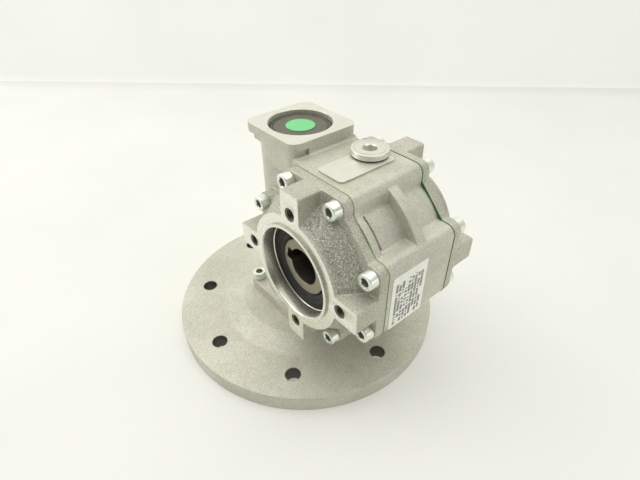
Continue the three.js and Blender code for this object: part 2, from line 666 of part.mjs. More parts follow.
const cover = frontCover();
place('front_cover', cover, CAST);
place('rear_cover', toRear(cover), CAST);
const gasket = coverGasket();
place('front_gasket', gasket, GASKET);
place('rear_gasket', toRear(gasket), GASKET);
coverBoltPositions().forEach(([x, z, length], i) => {
  place(`front_cover_bolt_${i + 1}`, coverBolt(x, z, length, -1), ZINC);
  place(`rear_cover_bolt_${i + 1}`, coverBolt(x, z, length, 1), ZINC);
});

place('oil_plug', oilPlug(), MACHINED);
place('oil_plug_washer', plugWasher(), RUBBER);
place('rating_plate', ratingPlate(), PAPER);

place('worm_end_cap', wormEndCap(), RUBBER);
place('end_cap_disc', rodZ(DISC.r, CAP.floor, DISC.top, ROUND_INNER), GREEN);

place('worm_shaft', wormShaft(), STEEL);
[['lower', LOWER_BEARING, 8], ['upper', UPPER_BEARING, 7]].forEach(([name, spec, balls]) => {
  const profiles = bearingProfiles(spec.inner + 0.08, spec.outer, spec.width);
  const innerRing = latheZ(shifted(profiles.innerRing, spec.z, 1), ROUND_INNER);
  const outerRing = latheZ(shifted(profiles.outerRing, spec.z, 1), ROUND_INNER);
  place(`${name}_worm_bearing_inner`, innerRing, BEARING);
  place(`${name}_worm_bearing_outer`, outerRing, BEARING);
  const ballRing = ballSet(profiles.gap, balls, spec.width).translate([0, 0, spec.z]);
  place(`${name}_worm_bearing_balls`, ballRing, BEARING);
});
const inputSeal = sealProfile(INPUT_SEAL.inner, INPUT_SEAL.outer, INPUT_SEAL.width);
place('input_seal', latheZ(shifted(inputSeal, HUB_TOP_Z + 0.2, 1), ROUND_INNER), RUBBER);

place('output_shaft', outputShaft(), STEEL);
place('wheel_hub', wheelHub(), IRON);
place('wheel_rim', wheelRim(), BRONZE);
place('wheel_key', wheelKey(), STEEL);
[['front', -1], ['rear', 1]].forEach(([name, side]) => {
  const spec = OUTPUT_BEARING;
  const profiles = bearingProfiles(spec.inner + 0.08, spec.outer, spec.width);
  const start = side * spec.y;
  const balls = ballSet(profiles.gap, 8, 0).rotate([90, 0, 0])
    .translate([OUTPUT_X, side * (spec.y + spec.width / 2), OUTPUT_Z]);
  const innerRing = latheY(shifted(profiles.innerRing, start, side), ROUND_INNER);
  const outerRing = latheY(shifted(profiles.outerRing, start, side), ROUND_INNER);
  const spacerY = [side * (HUB_HALF_WIDTH + 0.1), start - side * 0.1];
  const spacer = ringY(SHAFT_R + 0.1, SPACER_R, ...spacerY, ROUND_INNER);
  const seal = sealProfile(SHAFT_R + 0.2, COVER_BORE_R - 0.25, OUTPUT_SEAL.width);
  place(`${name}_spacer_ring`, spacer, STEEL);
  place(`${name}_output_bearing_inner`, innerRing, BEARING);
  place(`${name}_output_bearing_outer`, outerRing, BEARING);
  place(`${name}_output_bearing_balls`, balls, BEARING);
  place(`${name}_output_seal`, latheY(shifted(seal, side * OUTPUT_SEAL.faceY, -side), ROUND_INNER), RUBBER);
});

export default group;
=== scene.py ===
import json
import math
import random

import bmesh
import bpy
import numpy as np
from mathutils import Matrix, Vector


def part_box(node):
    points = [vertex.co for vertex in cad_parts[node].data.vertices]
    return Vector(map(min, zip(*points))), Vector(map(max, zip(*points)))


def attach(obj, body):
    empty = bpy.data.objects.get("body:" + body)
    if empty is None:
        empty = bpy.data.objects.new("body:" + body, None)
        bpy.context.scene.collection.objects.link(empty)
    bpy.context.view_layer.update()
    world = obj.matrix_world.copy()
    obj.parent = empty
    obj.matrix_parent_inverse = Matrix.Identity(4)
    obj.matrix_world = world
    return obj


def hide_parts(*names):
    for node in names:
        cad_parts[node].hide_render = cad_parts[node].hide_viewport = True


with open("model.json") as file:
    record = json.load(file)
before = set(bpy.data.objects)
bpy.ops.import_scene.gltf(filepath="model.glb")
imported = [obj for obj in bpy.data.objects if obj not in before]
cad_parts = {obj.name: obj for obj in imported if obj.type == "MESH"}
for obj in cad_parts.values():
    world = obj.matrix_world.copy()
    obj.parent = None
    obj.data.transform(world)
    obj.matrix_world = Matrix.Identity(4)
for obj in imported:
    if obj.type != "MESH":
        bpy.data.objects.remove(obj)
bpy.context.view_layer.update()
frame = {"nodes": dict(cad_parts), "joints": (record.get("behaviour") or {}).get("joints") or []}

MM = 0.001


def mm_box(node):
    """Lowest and highest corner of a CAD node, in millimetres."""
    low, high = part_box(node)
    return low / MM, high / MM


# ---- places from the frame, in millimetres
JOINTS = {joint["name"]: joint for joint in frame["joints"]}
OUT_X = JOINTS["output_spin"]["pos_m"][0] / MM
OUT_Z = JOINTS["output_spin"]["pos_m"][2] / MM
WORM_X = JOINTS["worm_spin"]["pos_m"][0] / MM
OUT_CENTRE = Vector((OUT_X, 0, OUT_Z))
WORM_CENTRE = Vector((WORM_X, 0, 0))
ORIGIN = Vector((0, 0, 0))
CENTRES = {"Y": OUT_CENTRE, "Z": WORM_CENTRE}

TOP_Z = mm_box("main_housing")[1].z
BASE_Z = mm_box("main_housing")[0].z
COVER_LOW, COVER_HIGH = mm_box("front_cover")
BODY_HALF = COVER_HIGH.x - OUT_X
LIP_Y = -COVER_LOW.y
HUB_INNER_Y = -COVER_HIGH.y
GASKET_LOW, GASKET_HIGH = mm_box("front_gasket")
SIDE_Y = -GASKET_HIGH.y
GASKET_Y = -GASKET_LOW.y
GASKET_PROUD = GASKET_HIGH.x - COVER_HIGH.x
FLANGE_LOW, FLANGE_HIGH = mm_box("motor_flange")
FLANGE_R = (FLANGE_HIGH.x - FLANGE_LOW.x) / 2
FLANGE_HUB_Z = FLANGE_HIGH.z
SCREW_LOW, SCREW_HIGH = mm_box("front_cover_bolt_1")
HEAD_R = (SCREW_HIGH.x - SCREW_LOW.x) / 2
SEAL_LOW, SEAL_HIGH = mm_box("front_output_seal")
SEAL_R = (SEAL_HIGH.z - SEAL_LOW.z) / 2
SEAL_FACE_Y = -SEAL_LOW.y
SHAFT_HALF = mm_box("output_shaft")[1].y
PLUG_LOW, PLUG_HIGH = mm_box("oil_plug")
PLUG_CENTRE = (PLUG_LOW + PLUG_HIGH) / 2
PLUG_R = (PLUG_HIGH.x - PLUG_LOW.x) / 2
PLUG_SEAT = mm_box("oil_plug_washer")[1].z
CAP_LOW, CAP_HIGH = mm_box("worm_end_cap")
CAP_R = (CAP_HIGH.y - CAP_LOW.y) / 2
DISC_LOW, DISC_HIGH = mm_box("end_cap_disc")
DISC_R = (DISC_HIGH.y - DISC_LOW.y) / 2
PLATE_LOW, PLATE_HIGH = mm_box("rating_plate")

# ---- shape dimensions, in millimetres
VOXEL = 0.55
CAST_SOFTNESS = 2
SKIN = 1.2  # metal that a casting has beyond a face before the face is machined
ROUND = 160
ROUND_SMALL = 64
ROUND_HOLE = 24

LOBE_R = 5.9
CORNER_CUT = 41.9
SCREW_PITCH_R = 51.5
COVER_Y = 33
FACE_Y = 48.8
COVER_LIP_R = 31
COVER_RING_R = 37.3
BORE_R = 28.2
BLOCK_HALF = 7.3
TAPPED_PITCH_R = 40.5
TAPPED_R = 3.4
TAPPED_MOUTH_R = 4.1
TAPPED_DEPTH = 13
THREAD_PITCH = 1.2
SCREW_HOLE_R = 3.3
BEARING_R = 27.75
SHOULDER_R = 25.2
COVER_HUB_R = 33
COVER_SPIGOT_R = 41.6
CHAMBER_R = 42.2
RIB_R = 55.8
RIB_Y = (-2, 5.4)
LIP_R = 49.9
LIP_BACK = -21.8
POCKET_R = 48.4
GROOVE_WIDE = 2.2

COLUMN_R = 25.5
COLUMN_BORE_R = 20.2
LOWER_BORE_R = 23.7
LOWER_BORE_TOP = 36.6
TOP_BOX_Z = 138
TOP_CORNER_R = 6.5
NECK_R = 29
NECK_TOP = 43
BASE_HALF = 32.5
BASE_TOP = 26
BASE_SCREW = 26.5
BASE_HOLE_R = 3.4
PAD_TOP = 151
PLUG_HOLE_R = 6.4
PLUG_HEX = 8
PLUG_HEX_DEPTH = 5
PAD_X = (-10, 11)
PAD_Y = (-22.4, 20)

FLANGE_T = 12.4
RIM_HOLE_R = 5.4
RIM_PITCH_R = 81
FLANGE_BORE_R = 20.5
SPIGOT_R = 65
SPIGOT_DEPTH = 4.2

HEX_ACROSS = 5
HEX_DEPTH = 3.2
HEAD_T = 6
SHANK_R = 2.95
LONG_SCREW = 20
SHORT_SCREW = 11
BASE_SCREW_LENGTH = 17

DISC_PROUD = 0.5

SHAFT_R = 17.9
SHAFT_BORE_R = 11.5
KEYWAY_HALF = 4
KEYWAY_R = 14.9
KEYWAY_ANGLE = 166
KEY_SEAT_HALF = 4.1
WORM_JOURNAL_R = 12.5


# ---- mesh helpers
def linked(name, data):
    """A new object in the scene."""
    obj = bpy.data.objects.new(name, data)
    bpy.context.scene.collection.objects.link(obj)
    return obj


def from_bmesh(name, bm):
    mesh = bpy.data.meshes.new(name)
    bm.to_mesh(mesh)
    bm.free()
    return linked(name, mesh)


def as_object(name, bm):
    """A bmesh as a scene object with its faces pointing out."""
    bmesh.ops.remove_doubles(bm, verts=bm.verts, dist=1e-5)
    bmesh.ops.recalc_face_normals(bm, faces=bm.faces)
    return from_bmesh(name, bm)


def drop(obj):
    mesh = obj.data
    bpy.data.objects.remove(obj)
    if not mesh.users:
        bpy.data.meshes.remove(mesh)


def rounded(points, radius, steps=5, closed=True):
    """A 2-D outline with its corners rounded. A point may carry its own radius as a third number."""
    result = []
    count = len(points)
    for i, point in enumerate(points):
        here = Vector(point[:2])
        own = point[2] if len(point) > 2 else radius
        before = Vector(points[i - 1][:2]) - here
        after = Vector(points[(i + 1) % count][:2]) - here
        half = before.angle(after, math.pi) / 2
        open_end = not closed and i in (0, count - 1)
        if open_end or own <= 0 or half > math.radians(88):
            result.append(tuple(here))
            continue
        reach = min(own / math.tan(half), before.length * 0.48, after.length * 0.48)
        size = reach * math.tan(half)
        start = here + before.normalized() * reach
        end = here + after.normalized() * reach
        middle = here + (before.normalized() + after.normalized()).normalized() * size / math.sin(half)
        first = math.atan2(start.y - middle.y, start.x - middle.x)
        turn = math.atan2(end.y - middle.y, end.x - middle.x) - first
        turn = (turn + math.pi) % (2 * math.pi) - math.pi
        for k in range(steps + 1):
            angle = first + turn * k / steps
            result.append((middle.x + size * math.cos(angle), middle.y + size * math.sin(angle)))
    return result


def placed(axis, centre, radius_vector, along):
    """A point from two numbers across an axis (Y or Z) and one along it.
    Without a centre, Y is the output axis and Z the worm axis."""
    across, other = radius_vector
    if centre is None:
        centre = CENTRES[axis]
    if axis == "Y":
        return (centre.x + across, along, centre.z + other)
    return (centre.x + across, centre.y + other, along)


def lathe(profile, axis, centre=None, steps=ROUND):
    """Turns (radius, along) pairs about an axis.
    The profile closes on itself, or starts and ends on the axis."""
    bm = bmesh.new()
    rings = []
    for radius, along in profile:
        if radius < 1e-6:
            rings.append([bm.verts.new(placed(axis, centre, (0, 0), along))])
            continue
        ring = []
        for i in range(steps):
            angle = 2 * math.pi * i / steps
            vector = (radius * math.cos(angle), radius * math.sin(angle))
            ring.append(bm.verts.new(placed(axis, centre, vector, along)))
        rings.append(ring)
    pairs = list(zip(rings, rings[1:]))
    if profile[0][0] > 1e-6:
        pairs.append((rings[-1], rings[0]))
    for low, high in pairs:
        for i in range(steps):
            j = (i + 1) % steps
            corners = [low[i % len(low)], low[j % len(low)], high[j % len(high)], high[i % len(high)]]
            corners = list(dict.fromkeys(corners))
            if len(corners) > 2:
                bm.faces.new(corners)
    return as_object("lathe", bm)


def stacked(name, rings):
    """Closes a stack of outlines, each with the same number of points, into a solid."""
    bm = bmesh.new()
    rows = [[bm.verts.new(point) for point in ring] for ring in rings]
    bm.faces.new(rows[0])
    bm.faces.new(rows[-1])
    for low, high in zip(rows, rows[1:]):
        for i in range(len(low)):
            j = (i + 1) % len(low)
            bm.faces.new((low[i], low[j], high[j], high[i]))
    return as_object(name, bm)


def prism(outline, axis, low, high, centre=None):
    """A 2-D outline swept along an axis."""
    ends = [[placed(axis, centre, point, along) for point in outline] for along in (low, high)]
    return stacked("prism", ends)


def block(x, y, z):
    """A box from its (low, high) pair on each axis."""
    outline = [(x[0], y[0]), (x[1], y[0]), (x[1], y[1]), (x[0], y[1])]
    return prism(outline, "Z", *z, ORIGIN)


def joined(name, parts):
    """Several meshes as one object, without merging them."""
    bm = bmesh.new()
    for part in parts:
        bm.from_mesh(part.data)
        drop(part)
    return from_bmesh(name, bm)


def applied(obj):
    """Applies the modifiers of an object."""
    bpy.context.view_layer.update()
    graph = bpy.context.evaluated_depsgraph_get()
    mesh = bpy.data.meshes.new_from_object(obj.evaluated_get(graph))
    old = obj.data
    obj.modifiers.clear()
    obj.data = mesh
    bpy.data.meshes.remove(old)
    return obj


def cast_body(name, parts):
    """Closed shapes melted into one casting with slightly soft inner and outer corners."""
    obj = joined(name, parts)
    remesh = obj.modifiers.new("remesh", "REMESH")
    remesh.mode = "VOXEL"
    remesh.voxel_size = VOXEL
    smooth = obj.modifiers.new("smooth", "SMOOTH")
    smooth.factor = 0.5
    smooth.iterations = CAST_SOFTNESS
    return applied(obj)


def combine(obj, tool, operation):
    """Adds a tool to an object or takes it away, and removes the tool."""
    modifier = obj.modifiers.new("combine", "BOOLEAN")
    modifier.operation = operation
    modifier.solver = "MANIFOLD"
    modifier.object = tool
    applied(obj)
    drop(tool)


def cut(obj, *tools):
    """Cuts the tools out of an object, as a machining step would."""
    for tool in tools:
        combine(obj, tool, "DIFFERENCE")


def polar(radius, degrees):
    return (radius * math.cos(math.radians(degrees)), radius * math.sin(math.radians(degrees)))


def arc(radius, start, end, steps):
    """Points on a circle from one angle to another, in degrees."""
    return [polar(radius, start + (end - start) * k / steps) for k in range(steps + 1)]


def turned(obj, degrees, axis="Y"):
    """Turns a mesh about an axis through the middle of the output shaft."""
    to_centre = Matrix.Translation(OUT_CENTRE)
    obj.data.transform(to_centre @ Matrix.Rotation(math.radians(degrees), 4, axis) @ to_centre.inverted())
    return obj


def rounded_rect(half_x, half_y, radius, centre=(0, 0)):
    corners = [(half_x, half_y), (-half_x, half_y), (-half_x, -half_y), (half_x, -half_y)]
    return rounded([(centre[0] + x, centre[1] + y) for x, y in corners], radius, 8)


def face_facts(obj):
    """Face centres in millimetres and face normals."""
    count = len(obj.data.polygons)
    centre = np.empty(count * 3, np.float32)
    normal = np.empty(count * 3, np.float32)
    obj.data.polygons.foreach_get("center", centre)
    obj.data.polygons.foreach_get("normal", normal)
    return centre.reshape(-1, 3), normal.reshape(-1, 3)


def from_worm(c):
    """Distances of face centres from the worm axis."""
    return np.hypot(c[:, 0] - WORM_X, c[:, 1])


def from_output(c):
    """Distances of face centres from the output axis."""
    return np.hypot(c[:, 0] - OUT_X, c[:, 2] - OUT_Z)


def on(values, place):
    """Which values lie on a machined plane."""
    return abs(values - place) < 0.03


def cover_all(obj, material):
    """One material on every face, before paint() changes some of them."""
    obj.data.materials.clear()
    obj.data.materials.append(material)
    obj.data.polygons.foreach_set("material_index", np.zeros(len(obj.data.polygons), np.int32))


def paint(obj, material, test):
    """Gives a material to the faces whose centre and normal pass the test."""
    centre, normal = face_facts(obj)
    chosen = test(centre, normal)
    index = np.empty(len(obj.data.polygons), np.int32)
    obj.data.polygons.foreach_get("material_index", index)
    index[chosen] = len(obj.data.materials)
    obj.data.materials.append(material)
    obj.data.polygons.foreach_set("material_index", index)


def smooth(mesh, sharp):
    """Smooth shading, with hard edges where faces turn by more than sharp degrees."""
    mesh.shade_smooth()
    mesh.set_sharp_from_angle(angle=math.radians(sharp))


def piece(obj, name, body, stands_for, sharp=40):
    """Puts a finished mesh into the object: metres, smooth shading, and its place in the frame."""
    obj.name = name
    obj.data.transform(Matrix.Scale(MM, 4))
    smooth(obj.data, sharp)
    obj.data.update()
    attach(obj, body)
    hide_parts(*stands_for)


# ---- material helpers
def set_inputs(node, values):
    for name, value in values.items():
        node.inputs[name].default_value = value


def set_span(node, *numbers):
    """Sets what a Map Range node maps from and to."""
    set_inputs(node, dict(zip(("From Min", "From Max", "To Min", "To Max"), numbers)))


def scaled(colour, factor):
    """A colour made darker or lighter, with no channel above 1."""
    return tuple(min(1.0, v * factor) for v in colour)


class Surface:
    """A node material with short ways to add noise, colour and bump."""

    def __init__(self, name, metallic, roughness):
        self.material = bpy.data.materials.new(name)
        self.material.use_nodes = True
        self.tree = self.material.node_tree
        self.shader = self.tree.nodes["Principled BSDF"]
        set_inputs(self.shader, {"Metallic": metallic, "Roughness": roughness})
        self.place = self.node("ShaderNodeTexCoord").outputs["Object"]

    def node(self, kind, **settings):
        node = self.tree.nodes.new(kind)
        for key, value in settings.items():
            setattr(node, key, value)
        return node

    def link(self, source, target):
        self.tree.links.new(source, target)

    def feed(self, socket, value):
        if isinstance(value, bpy.types.NodeSocket):
            self.link(value, socket)
        else:
            socket.default_value = value

    def math(self, operation, a, b=0.0):
        node = self.node("ShaderNodeMath", operation=operation)
        self.feed(node.inputs[0], a)
        self.feed(node.inputs[1], b)
        return node.outputs[0]

    def product(self, first, *others):
        for other in others:
            first = self.math("MULTIPLY", first, other)
        return first

    def near_middle(self, value, half):
        """1 where the value's fraction lies within half of 0.5, and 0 elsewhere."""
        offset = self.math("SUBTRACT", self.math("FRACT", value), 0.5)
        return self.math("LESS_THAN", self.math("ABSOLUTE", offset), half)

    def random_cell(self, x, y):
        """A random number for each whole cell of two values."""
        cell = self.node("ShaderNodeCombineXYZ")
        self.link(self.math("FLOOR", x), cell.inputs[0])
        self.link(self.math("FLOOR", y), cell.inputs[1])
        white = self.node("ShaderNodeTexWhiteNoise", noise_dimensions="2D")
        self.link(cell.outputs[0], white.inputs["Vector"])
        return white.outputs["Value"]

    def vector(self, operation, value, constant=(0, 0, 0)):
        node = self.node("ShaderNodeVectorMath", operation=operation)
        self.link(value, node.inputs[0])
        node.inputs[1].default_value = constant
        return node.outputs["Value" if operation == "LENGTH" else "Vector"]

    def stretched(self, scale):
        """Places scaled per axis, for brushed or drawn marks."""
        return self.vector("MULTIPLY", self.place, scale)

    def noise(self, size_mm, detail=3, roughness=0.55, place=None, distortion=0.0):
        """Noise whose cells are about size_mm across."""
        node = self.node("ShaderNodeTexNoise")
        self.link(place or self.place, node.inputs["Vector"])
        set_inputs(node, {"Scale": 1 / (size_mm * MM), "Detail": detail, "Roughness": roughness,
                          "Distortion": distortion})
        return node.outputs["Fac"]

    def rings(self, axis, centre_mm, size_mm):
        """Noise that changes only with the distance from an axis, like turning marks."""
        shifted = self.vector("SUBTRACT", self.place, [v * MM for v in centre_mm])
        across = self.vector("MULTIPLY", shifted, (1, 0, 1) if axis == "Y" else (1, 1, 0))
        node = self.node("ShaderNodeTexNoise", noise_dimensions="1D")
        self.link(self.vector("LENGTH", across), node.inputs["W"])
        set_inputs(node, {"Scale": 1 / (size_mm * MM), "Detail": 3})
        return node.outputs["Fac"]

    def span(self, value, low, high, to_low=0.0, to_high=1.0):
        """Maps one span of numbers onto another, with ends held."""
        node = self.node("ShaderNodeMapRange")
        self.link(value, node.inputs["Value"])
        set_span(node, low, high, to_low, to_high)
        return node.outputs["Result"]

    def blend(self, amount, first, second):
        """The first colour where amount is 0, and the second where it is 1."""
        node = self.node("ShaderNodeMix", data_type="RGBA")
        self.feed(node.inputs["Factor"], amount)
        colours = {socket.name: socket for socket in node.inputs if socket.type == "RGBA"}
        for name, value in (("A", first), ("B", second)):
            self.feed(colours[name], (*value, 1) if isinstance(value, tuple) else value)
        return [socket for socket in node.outputs if socket.type == "RGBA"][0]

    def bump(self, height, strength, depth_mm, below=None):
        node = self.node("ShaderNodeBump")
        set_inputs(node, {"Strength": strength, "Distance": depth_mm * MM})
        self.link(height, node.inputs["Height"])
        if below is not None:
            self.link(below, node.inputs["Normal"])
        return node.outputs["Normal"]

    def finish(self, colour, roughness=None, normal=None):
        self.feed(self.shader.inputs["Base Color"], (*colour, 1) if isinstance(colour, tuple) else colour)
        if roughness is not None:
            self.feed(self.shader.inputs["Roughness"], roughness)
        if normal is not None:
            self.link(normal, self.shader.inputs["Normal"])
        return self.material


# ---- materials
def cast_material(name, light, dark, grain_mm, bump_depth, pits, glint_specks, metallic=0.4):
    """Sand-cast aluminium: grain with dark pits, bright specks that are painted glints, and faint oil stains.
    """
    s = Surface(name, metallic, 0.55)
    coarse = s.noise(grain_mm, 3, 0.65)
    fine = s.noise(grain_mm * 0.55, 2, 0.6)
    cloud = s.noise(26, 3, 0.6)
    patch = s.noise(11, 4, 0.6, distortion=0.6)
    colour = s.blend(s.span(cloud, 0.35, 0.65), dark, light)
    colour = s.blend(s.span(coarse, 0.5, 0.36, 0.0, pits), colour, scaled(dark, 0.45))
    # Bright specks in the grain: painted glints of light, lighter than the metal's own colour.
    colour = s.blend(s.span(fine, 0.52, 0.64, 0.0, glint_specks), colour, scaled(light, 1.8))
    colour = s.blend(s.span(patch, 0.6, 0.78, 0.0, 0.22), colour, (0.42, 0.34, 0.22))
    rough = s.span(coarse, 0.35, 0.65, 0.62, 0.42)
    normal = s.bump(coarse, 0.5, bump_depth)
    normal = s.bump(fine, 0.35, bump_depth * 0.5, normal)
    return s.finish(colour, rough, normal)


def machined_material(name, colour, marks, metallic=0.85, rough=0.3, mark_depth=0.02):
    """Turned or milled metal with tool marks. marks is a function that gives the marks' height."""
    s = Surface(name, metallic, rough)
    height = marks(s)
    smear = s.noise(7, 3, 0.6)
    grain = s.noise(0.5, 2, 0.5)
    shade = s.blend(s.span(height, 0.3, 0.7), scaled(colour, 0.86), colour)
    shade = s.blend(s.span(smear, 0.45, 0.8, 0.0, 0.22), shade, scaled(colour, 0.72))
    shade = s.blend(s.span(grain, 0.6, 0.8, 0.0, 0.1), shade, scaled(colour, 1.15))
    roughness = s.math("ADD", s.span(height, 0.3, 0.7, rough - 0.06, rough + 0.06),
                       s.span(smear, 0.4, 0.8, 0.0, 0.1))
    return s.finish(shade, roughness, s.bump(height, 0.4, mark_depth))


def ring_marks(axis, centre, size_mm=0.35):
    return lambda s: s.rings(axis, centre, size_mm)


def line_marks(scale, size_mm=0.4):
    return lambda s: s.noise(size_mm, 3, 0.6, s.stretched(scale))


def zinc_material():
    s = Surface("zinc_plated_steel", 0.75, 0.3)
    cloud = s.noise(3.2, 3, 0.6)
    fine = s.noise(0.45, 3, 0.6)
    colour = s.blend(s.span(cloud, 0.3, 0.7), (0.76, 0.81, 0.72), (0.94, 0.98, 0.90))
    colour = s.blend(s.span(fine, 0.55, 0.8, 0.0, 0.4), colour, (0.42, 0.46, 0.42))
    rough = s.span(cloud, 0.3, 0.7, 0.24, 0.4)
    return s.finish(colour, rough, s.bump(fine, 0.25, 0.03))


def rubber_material(name, colour, rough=0.6, dust=0.18):
    s = Surface(name, 0.0, rough)
    fine = s.noise(0.35, 3, 0.6)
    cloud = s.noise(6, 3, 0.6)
    shade = s.blend(s.span(cloud, 0.35, 0.75, 0.0, dust), colour, (0.30, 0.28, 0.24))
    shade = s.blend(s.span(fine, 0.5, 0.8, 0.0, 0.25), shade, scaled(colour, 0.6))
    roughness = s.span(cloud, 0.3, 0.7, rough - 0.12, rough + 0.1)
    return s.finish(shade, roughness, s.bump(fine, 0.3, 0.03))


def gasket_material(name, colour, dark):
    s = Surface(name, 0.0, 0.65)
    fibre = s.noise(0.6, 4, 0.7)
    cloud = s.noise(5, 2, 0.5)
    shade = s.blend(s.span(cloud, 0.35, 0.65), dark, colour)
    shade = s.blend(s.span(fibre, 0.5, 0.8, 0.0, 0.4), shade, scaled(colour, 0.5))
    return s.finish(shade, None, s.bump(fibre, 0.3, 0.05))


def steel_material(name, colour, rough, marks, metallic=0.9):
    return machined_material(name, colour, marks, metallic, rough, 0.01)


def plastic_material(name, colour):
    s = Surface(name, 0.0, 0.45)
    fine = s.noise(0.3, 3, 0.6)
    cloud = s.noise(4, 3, 0.5)
    shade = s.blend(s.span(cloud, 0.3, 0.7, 0.0, 0.35), colour, scaled(colour, 0.84))
    return s.finish(shade, s.span(cloud, 0.3, 0.7, 0.38, 0.55), s.bump(fine, 0.25, 0.02))


DASHES_IN_GROUP = 7


def plate_material():
    """A white rating plate with rows of plain dashes: no letters, only marks where print would be."""
    s = Surface("rating_plate_print", 0.0, 0.42)
    split = s.node("ShaderNodeSeparateXYZ")
    s.link(s.place, split.inputs[0])
    across, up = split.outputs["Y"], split.outputs["Z"]
    low, high = PLATE_LOW * MM, PLATE_HIGH * MM
    column_pitch = 2.55 * MM
    dash_pitch = 0.95 * MM
    column = s.math("DIVIDE", s.math("SUBTRACT", across, low.y), column_pitch)
    row = s.math("SUBTRACT", up, low.z)
    dash = s.math("DIVIDE", row, dash_pitch)
    group = s.math("DIVIDE", row, dash_pitch * DASHES_IN_GROUP)
    margin = 2.2 * MM
    wear = s.noise(1.2, 4, 0.7)
    ink = s.product(
        s.near_middle(column, 0.38), s.near_middle(dash, 0.42),
        s.math("GREATER_THAN", s.random_cell(column, dash), 0.25),
        s.math("GREATER_THAN", s.random_cell(column, group), 0.22),
        s.math("GREATER_THAN", across, low.y + margin), s.math("LESS_THAN", across, high.y - margin),
        s.math("GREATER_THAN", up, low.z + margin), s.math("LESS_THAN", up, high.z - 2.6 * margin),
        s.span(wear, 0.3, 0.6, 0.6, 1.0),
    )
    cloud = s.noise(9, 3, 0.6)
    paper = s.blend(s.span(cloud, 0.35, 0.75), (0.98, 0.985, 0.92), (0.90, 0.91, 0.83))
    return s.finish(s.blend(ink, paper, (0.02, 0.02, 0.018)), None, s.bump(s.noise(0.8, 2), 0.15, 0.02))


def stage_material(name, glow):
    s = Surface(name, 0.0, 0.75)
    soft = s.noise(180, 2, 0.5)
    set_inputs(s.shader, {"Emission Color": (1, 1, 0.95, 1), "Emission Strength": glow})
    return s.finish(s.blend(s.span(soft, 0.3, 0.7), (0.61, 0.613, 0.578), (0.645, 0.648, 0.615)))


OUT_AXIS = tuple(OUT_CENTRE)
WORM_AXIS = tuple(WORM_CENTRE)
LIGHT_METAL = (0.88, 0.875, 0.79)
CAST = cast_material("sand_cast_aluminium", (0.64, 0.632, 0.535), (0.54, 0.532, 0.45),
                     grain_mm=1.1, bump_depth=0.16, pits=0.28, glint_specks=0.28)
CAST_COVER = cast_material("cover_cast_aluminium", (0.56, 0.552, 0.465), (0.45, 0.443, 0.373),
                           grain_mm=1.1, bump_depth=0.2, pits=0.4, glint_specks=0.4)
# The cover's cone: rougher, more pitted grain, and a darker base colour that is painted shade on the cone.
DOME_CAST_AND_SHADE = cast_material("rough_cast_aluminium_and_painted_shade", (0.45, 0.442, 0.375), (0.36, 0.353, 0.30),
                          grain_mm=1.45, bump_depth=0.3, pits=0.6, glint_specks=0.95)
CAST_FLANGE = cast_material("cast_flange_aluminium", (0.64, 0.63, 0.533), (0.54, 0.531, 0.445),
                            grain_mm=1.1, bump_depth=0.12, pits=0.3, glint_specks=0.35)
FACED = machined_material("faced_aluminium", LIGHT_METAL, ring_marks("Y", OUT_AXIS, 0.6), rough=0.25)
# The output bore's wall: bored metal whose base colour is darkened well below the faced metal, as painted
# shade inside the bore.
BORED_WITH_SHADE = machined_material("bored_aluminium_painted_shade", (0.56, 0.548, 0.482), line_marks((0.04, 1, 0.04), 0.5),
                          rough=0.28, mark_depth=0.002)
MILLED = machined_material("milled_aluminium", (0.82, 0.81, 0.725), line_marks((1, 0.03, 1), 0.5),
                           metallic=0.6, rough=0.38)
MILLED_UNDER = machined_material("turned_flange_face", (0.70, 0.69, 0.64), ring_marks("Z", WORM_AXIS, 0.6),
                                 metallic=0.8)
CAP_BORE = machined_material("column_bore_aluminium", (0.58, 0.56, 0.48), line_marks((0.04, 0.04, 1), 0.4),
                             rough=0.2)
# Inside of drilled and tapped holes: near-black, which is painted shade in the holes, not the colour of the
# metal.
HOLE_PAINTED_SHADE = machined_material("drilled_aluminium_painted_shade", (0.17, 0.165, 0.14), line_marks((0.1, 0.1, 1), 0.4),
                         rough=0.38)
ZINC = zinc_material()
SOCKET = machined_material("socket_steel", (0.42, 0.42, 0.37), line_marks((1, 1, 0.2), 0.3),
                           metallic=0.6, rough=0.4)
PLUG = machined_material("turned_plug_aluminium", (0.84, 0.835, 0.76),
                         ring_marks("Z", tuple(PLUG_CENTRE), 0.3))
GASKET_FRONT = gasket_material("front_gasket_sheet", (0.30, 0.44, 0.17), (0.18, 0.33, 0.12))
GASKET_REAR = gasket_material("rear_gasket_sheet", (0.04, 0.17, 0.07), (0.02, 0.11, 0.045))
SEAL = rubber_material("seal_rubber", (0.009, 0.0105, 0.009), 0.6, 0.03)
CAP = rubber_material("cap_rubber", (0.112, 0.106, 0.078), 0.55, 0.3)
WASHER = rubber_material("washer_rubber", (0.02, 0.022, 0.022), 0.5, 0.05)
GREEN = plastic_material("green_disc_plastic", (0.19, 0.66, 0.27))
PLATE = plate_material()
SHAFT_FACE = steel_material("shaft_face_steel", (0.33, 0.305, 0.215), 0.42, ring_marks("Y", OUT_AXIS), 0.7)
SHAFT_BORE = steel_material("shaft_bore_steel", (0.20, 0.18, 0.15), 0.35, line_marks((1, 0.05, 1), 0.4))
WORM_STEEL = steel_material("worm_steel", (0.42, 0.41, 0.38), 0.3, line_marks((0.2, 0.2, 1), 0.4))
BEARING = steel_material("bearing_steel", (0.62, 0.63, 0.63), 0.18, line_marks((1, 1, 1), 0.5))
HUB_IRON = cast_material("hub_iron", (0.17, 0.17, 0.17), (0.10, 0.10, 0.10),
                         grain_mm=0.6, bump_depth=0.05, pits=0.3, glint_specks=0.3, metallic=0.7)
BRONZE = machined_material("wheel_bronze", (0.60, 0.38, 0.14), line_marks((1, 0.1, 1), 0.5),
                           metallic=0.9, rough=0.35)


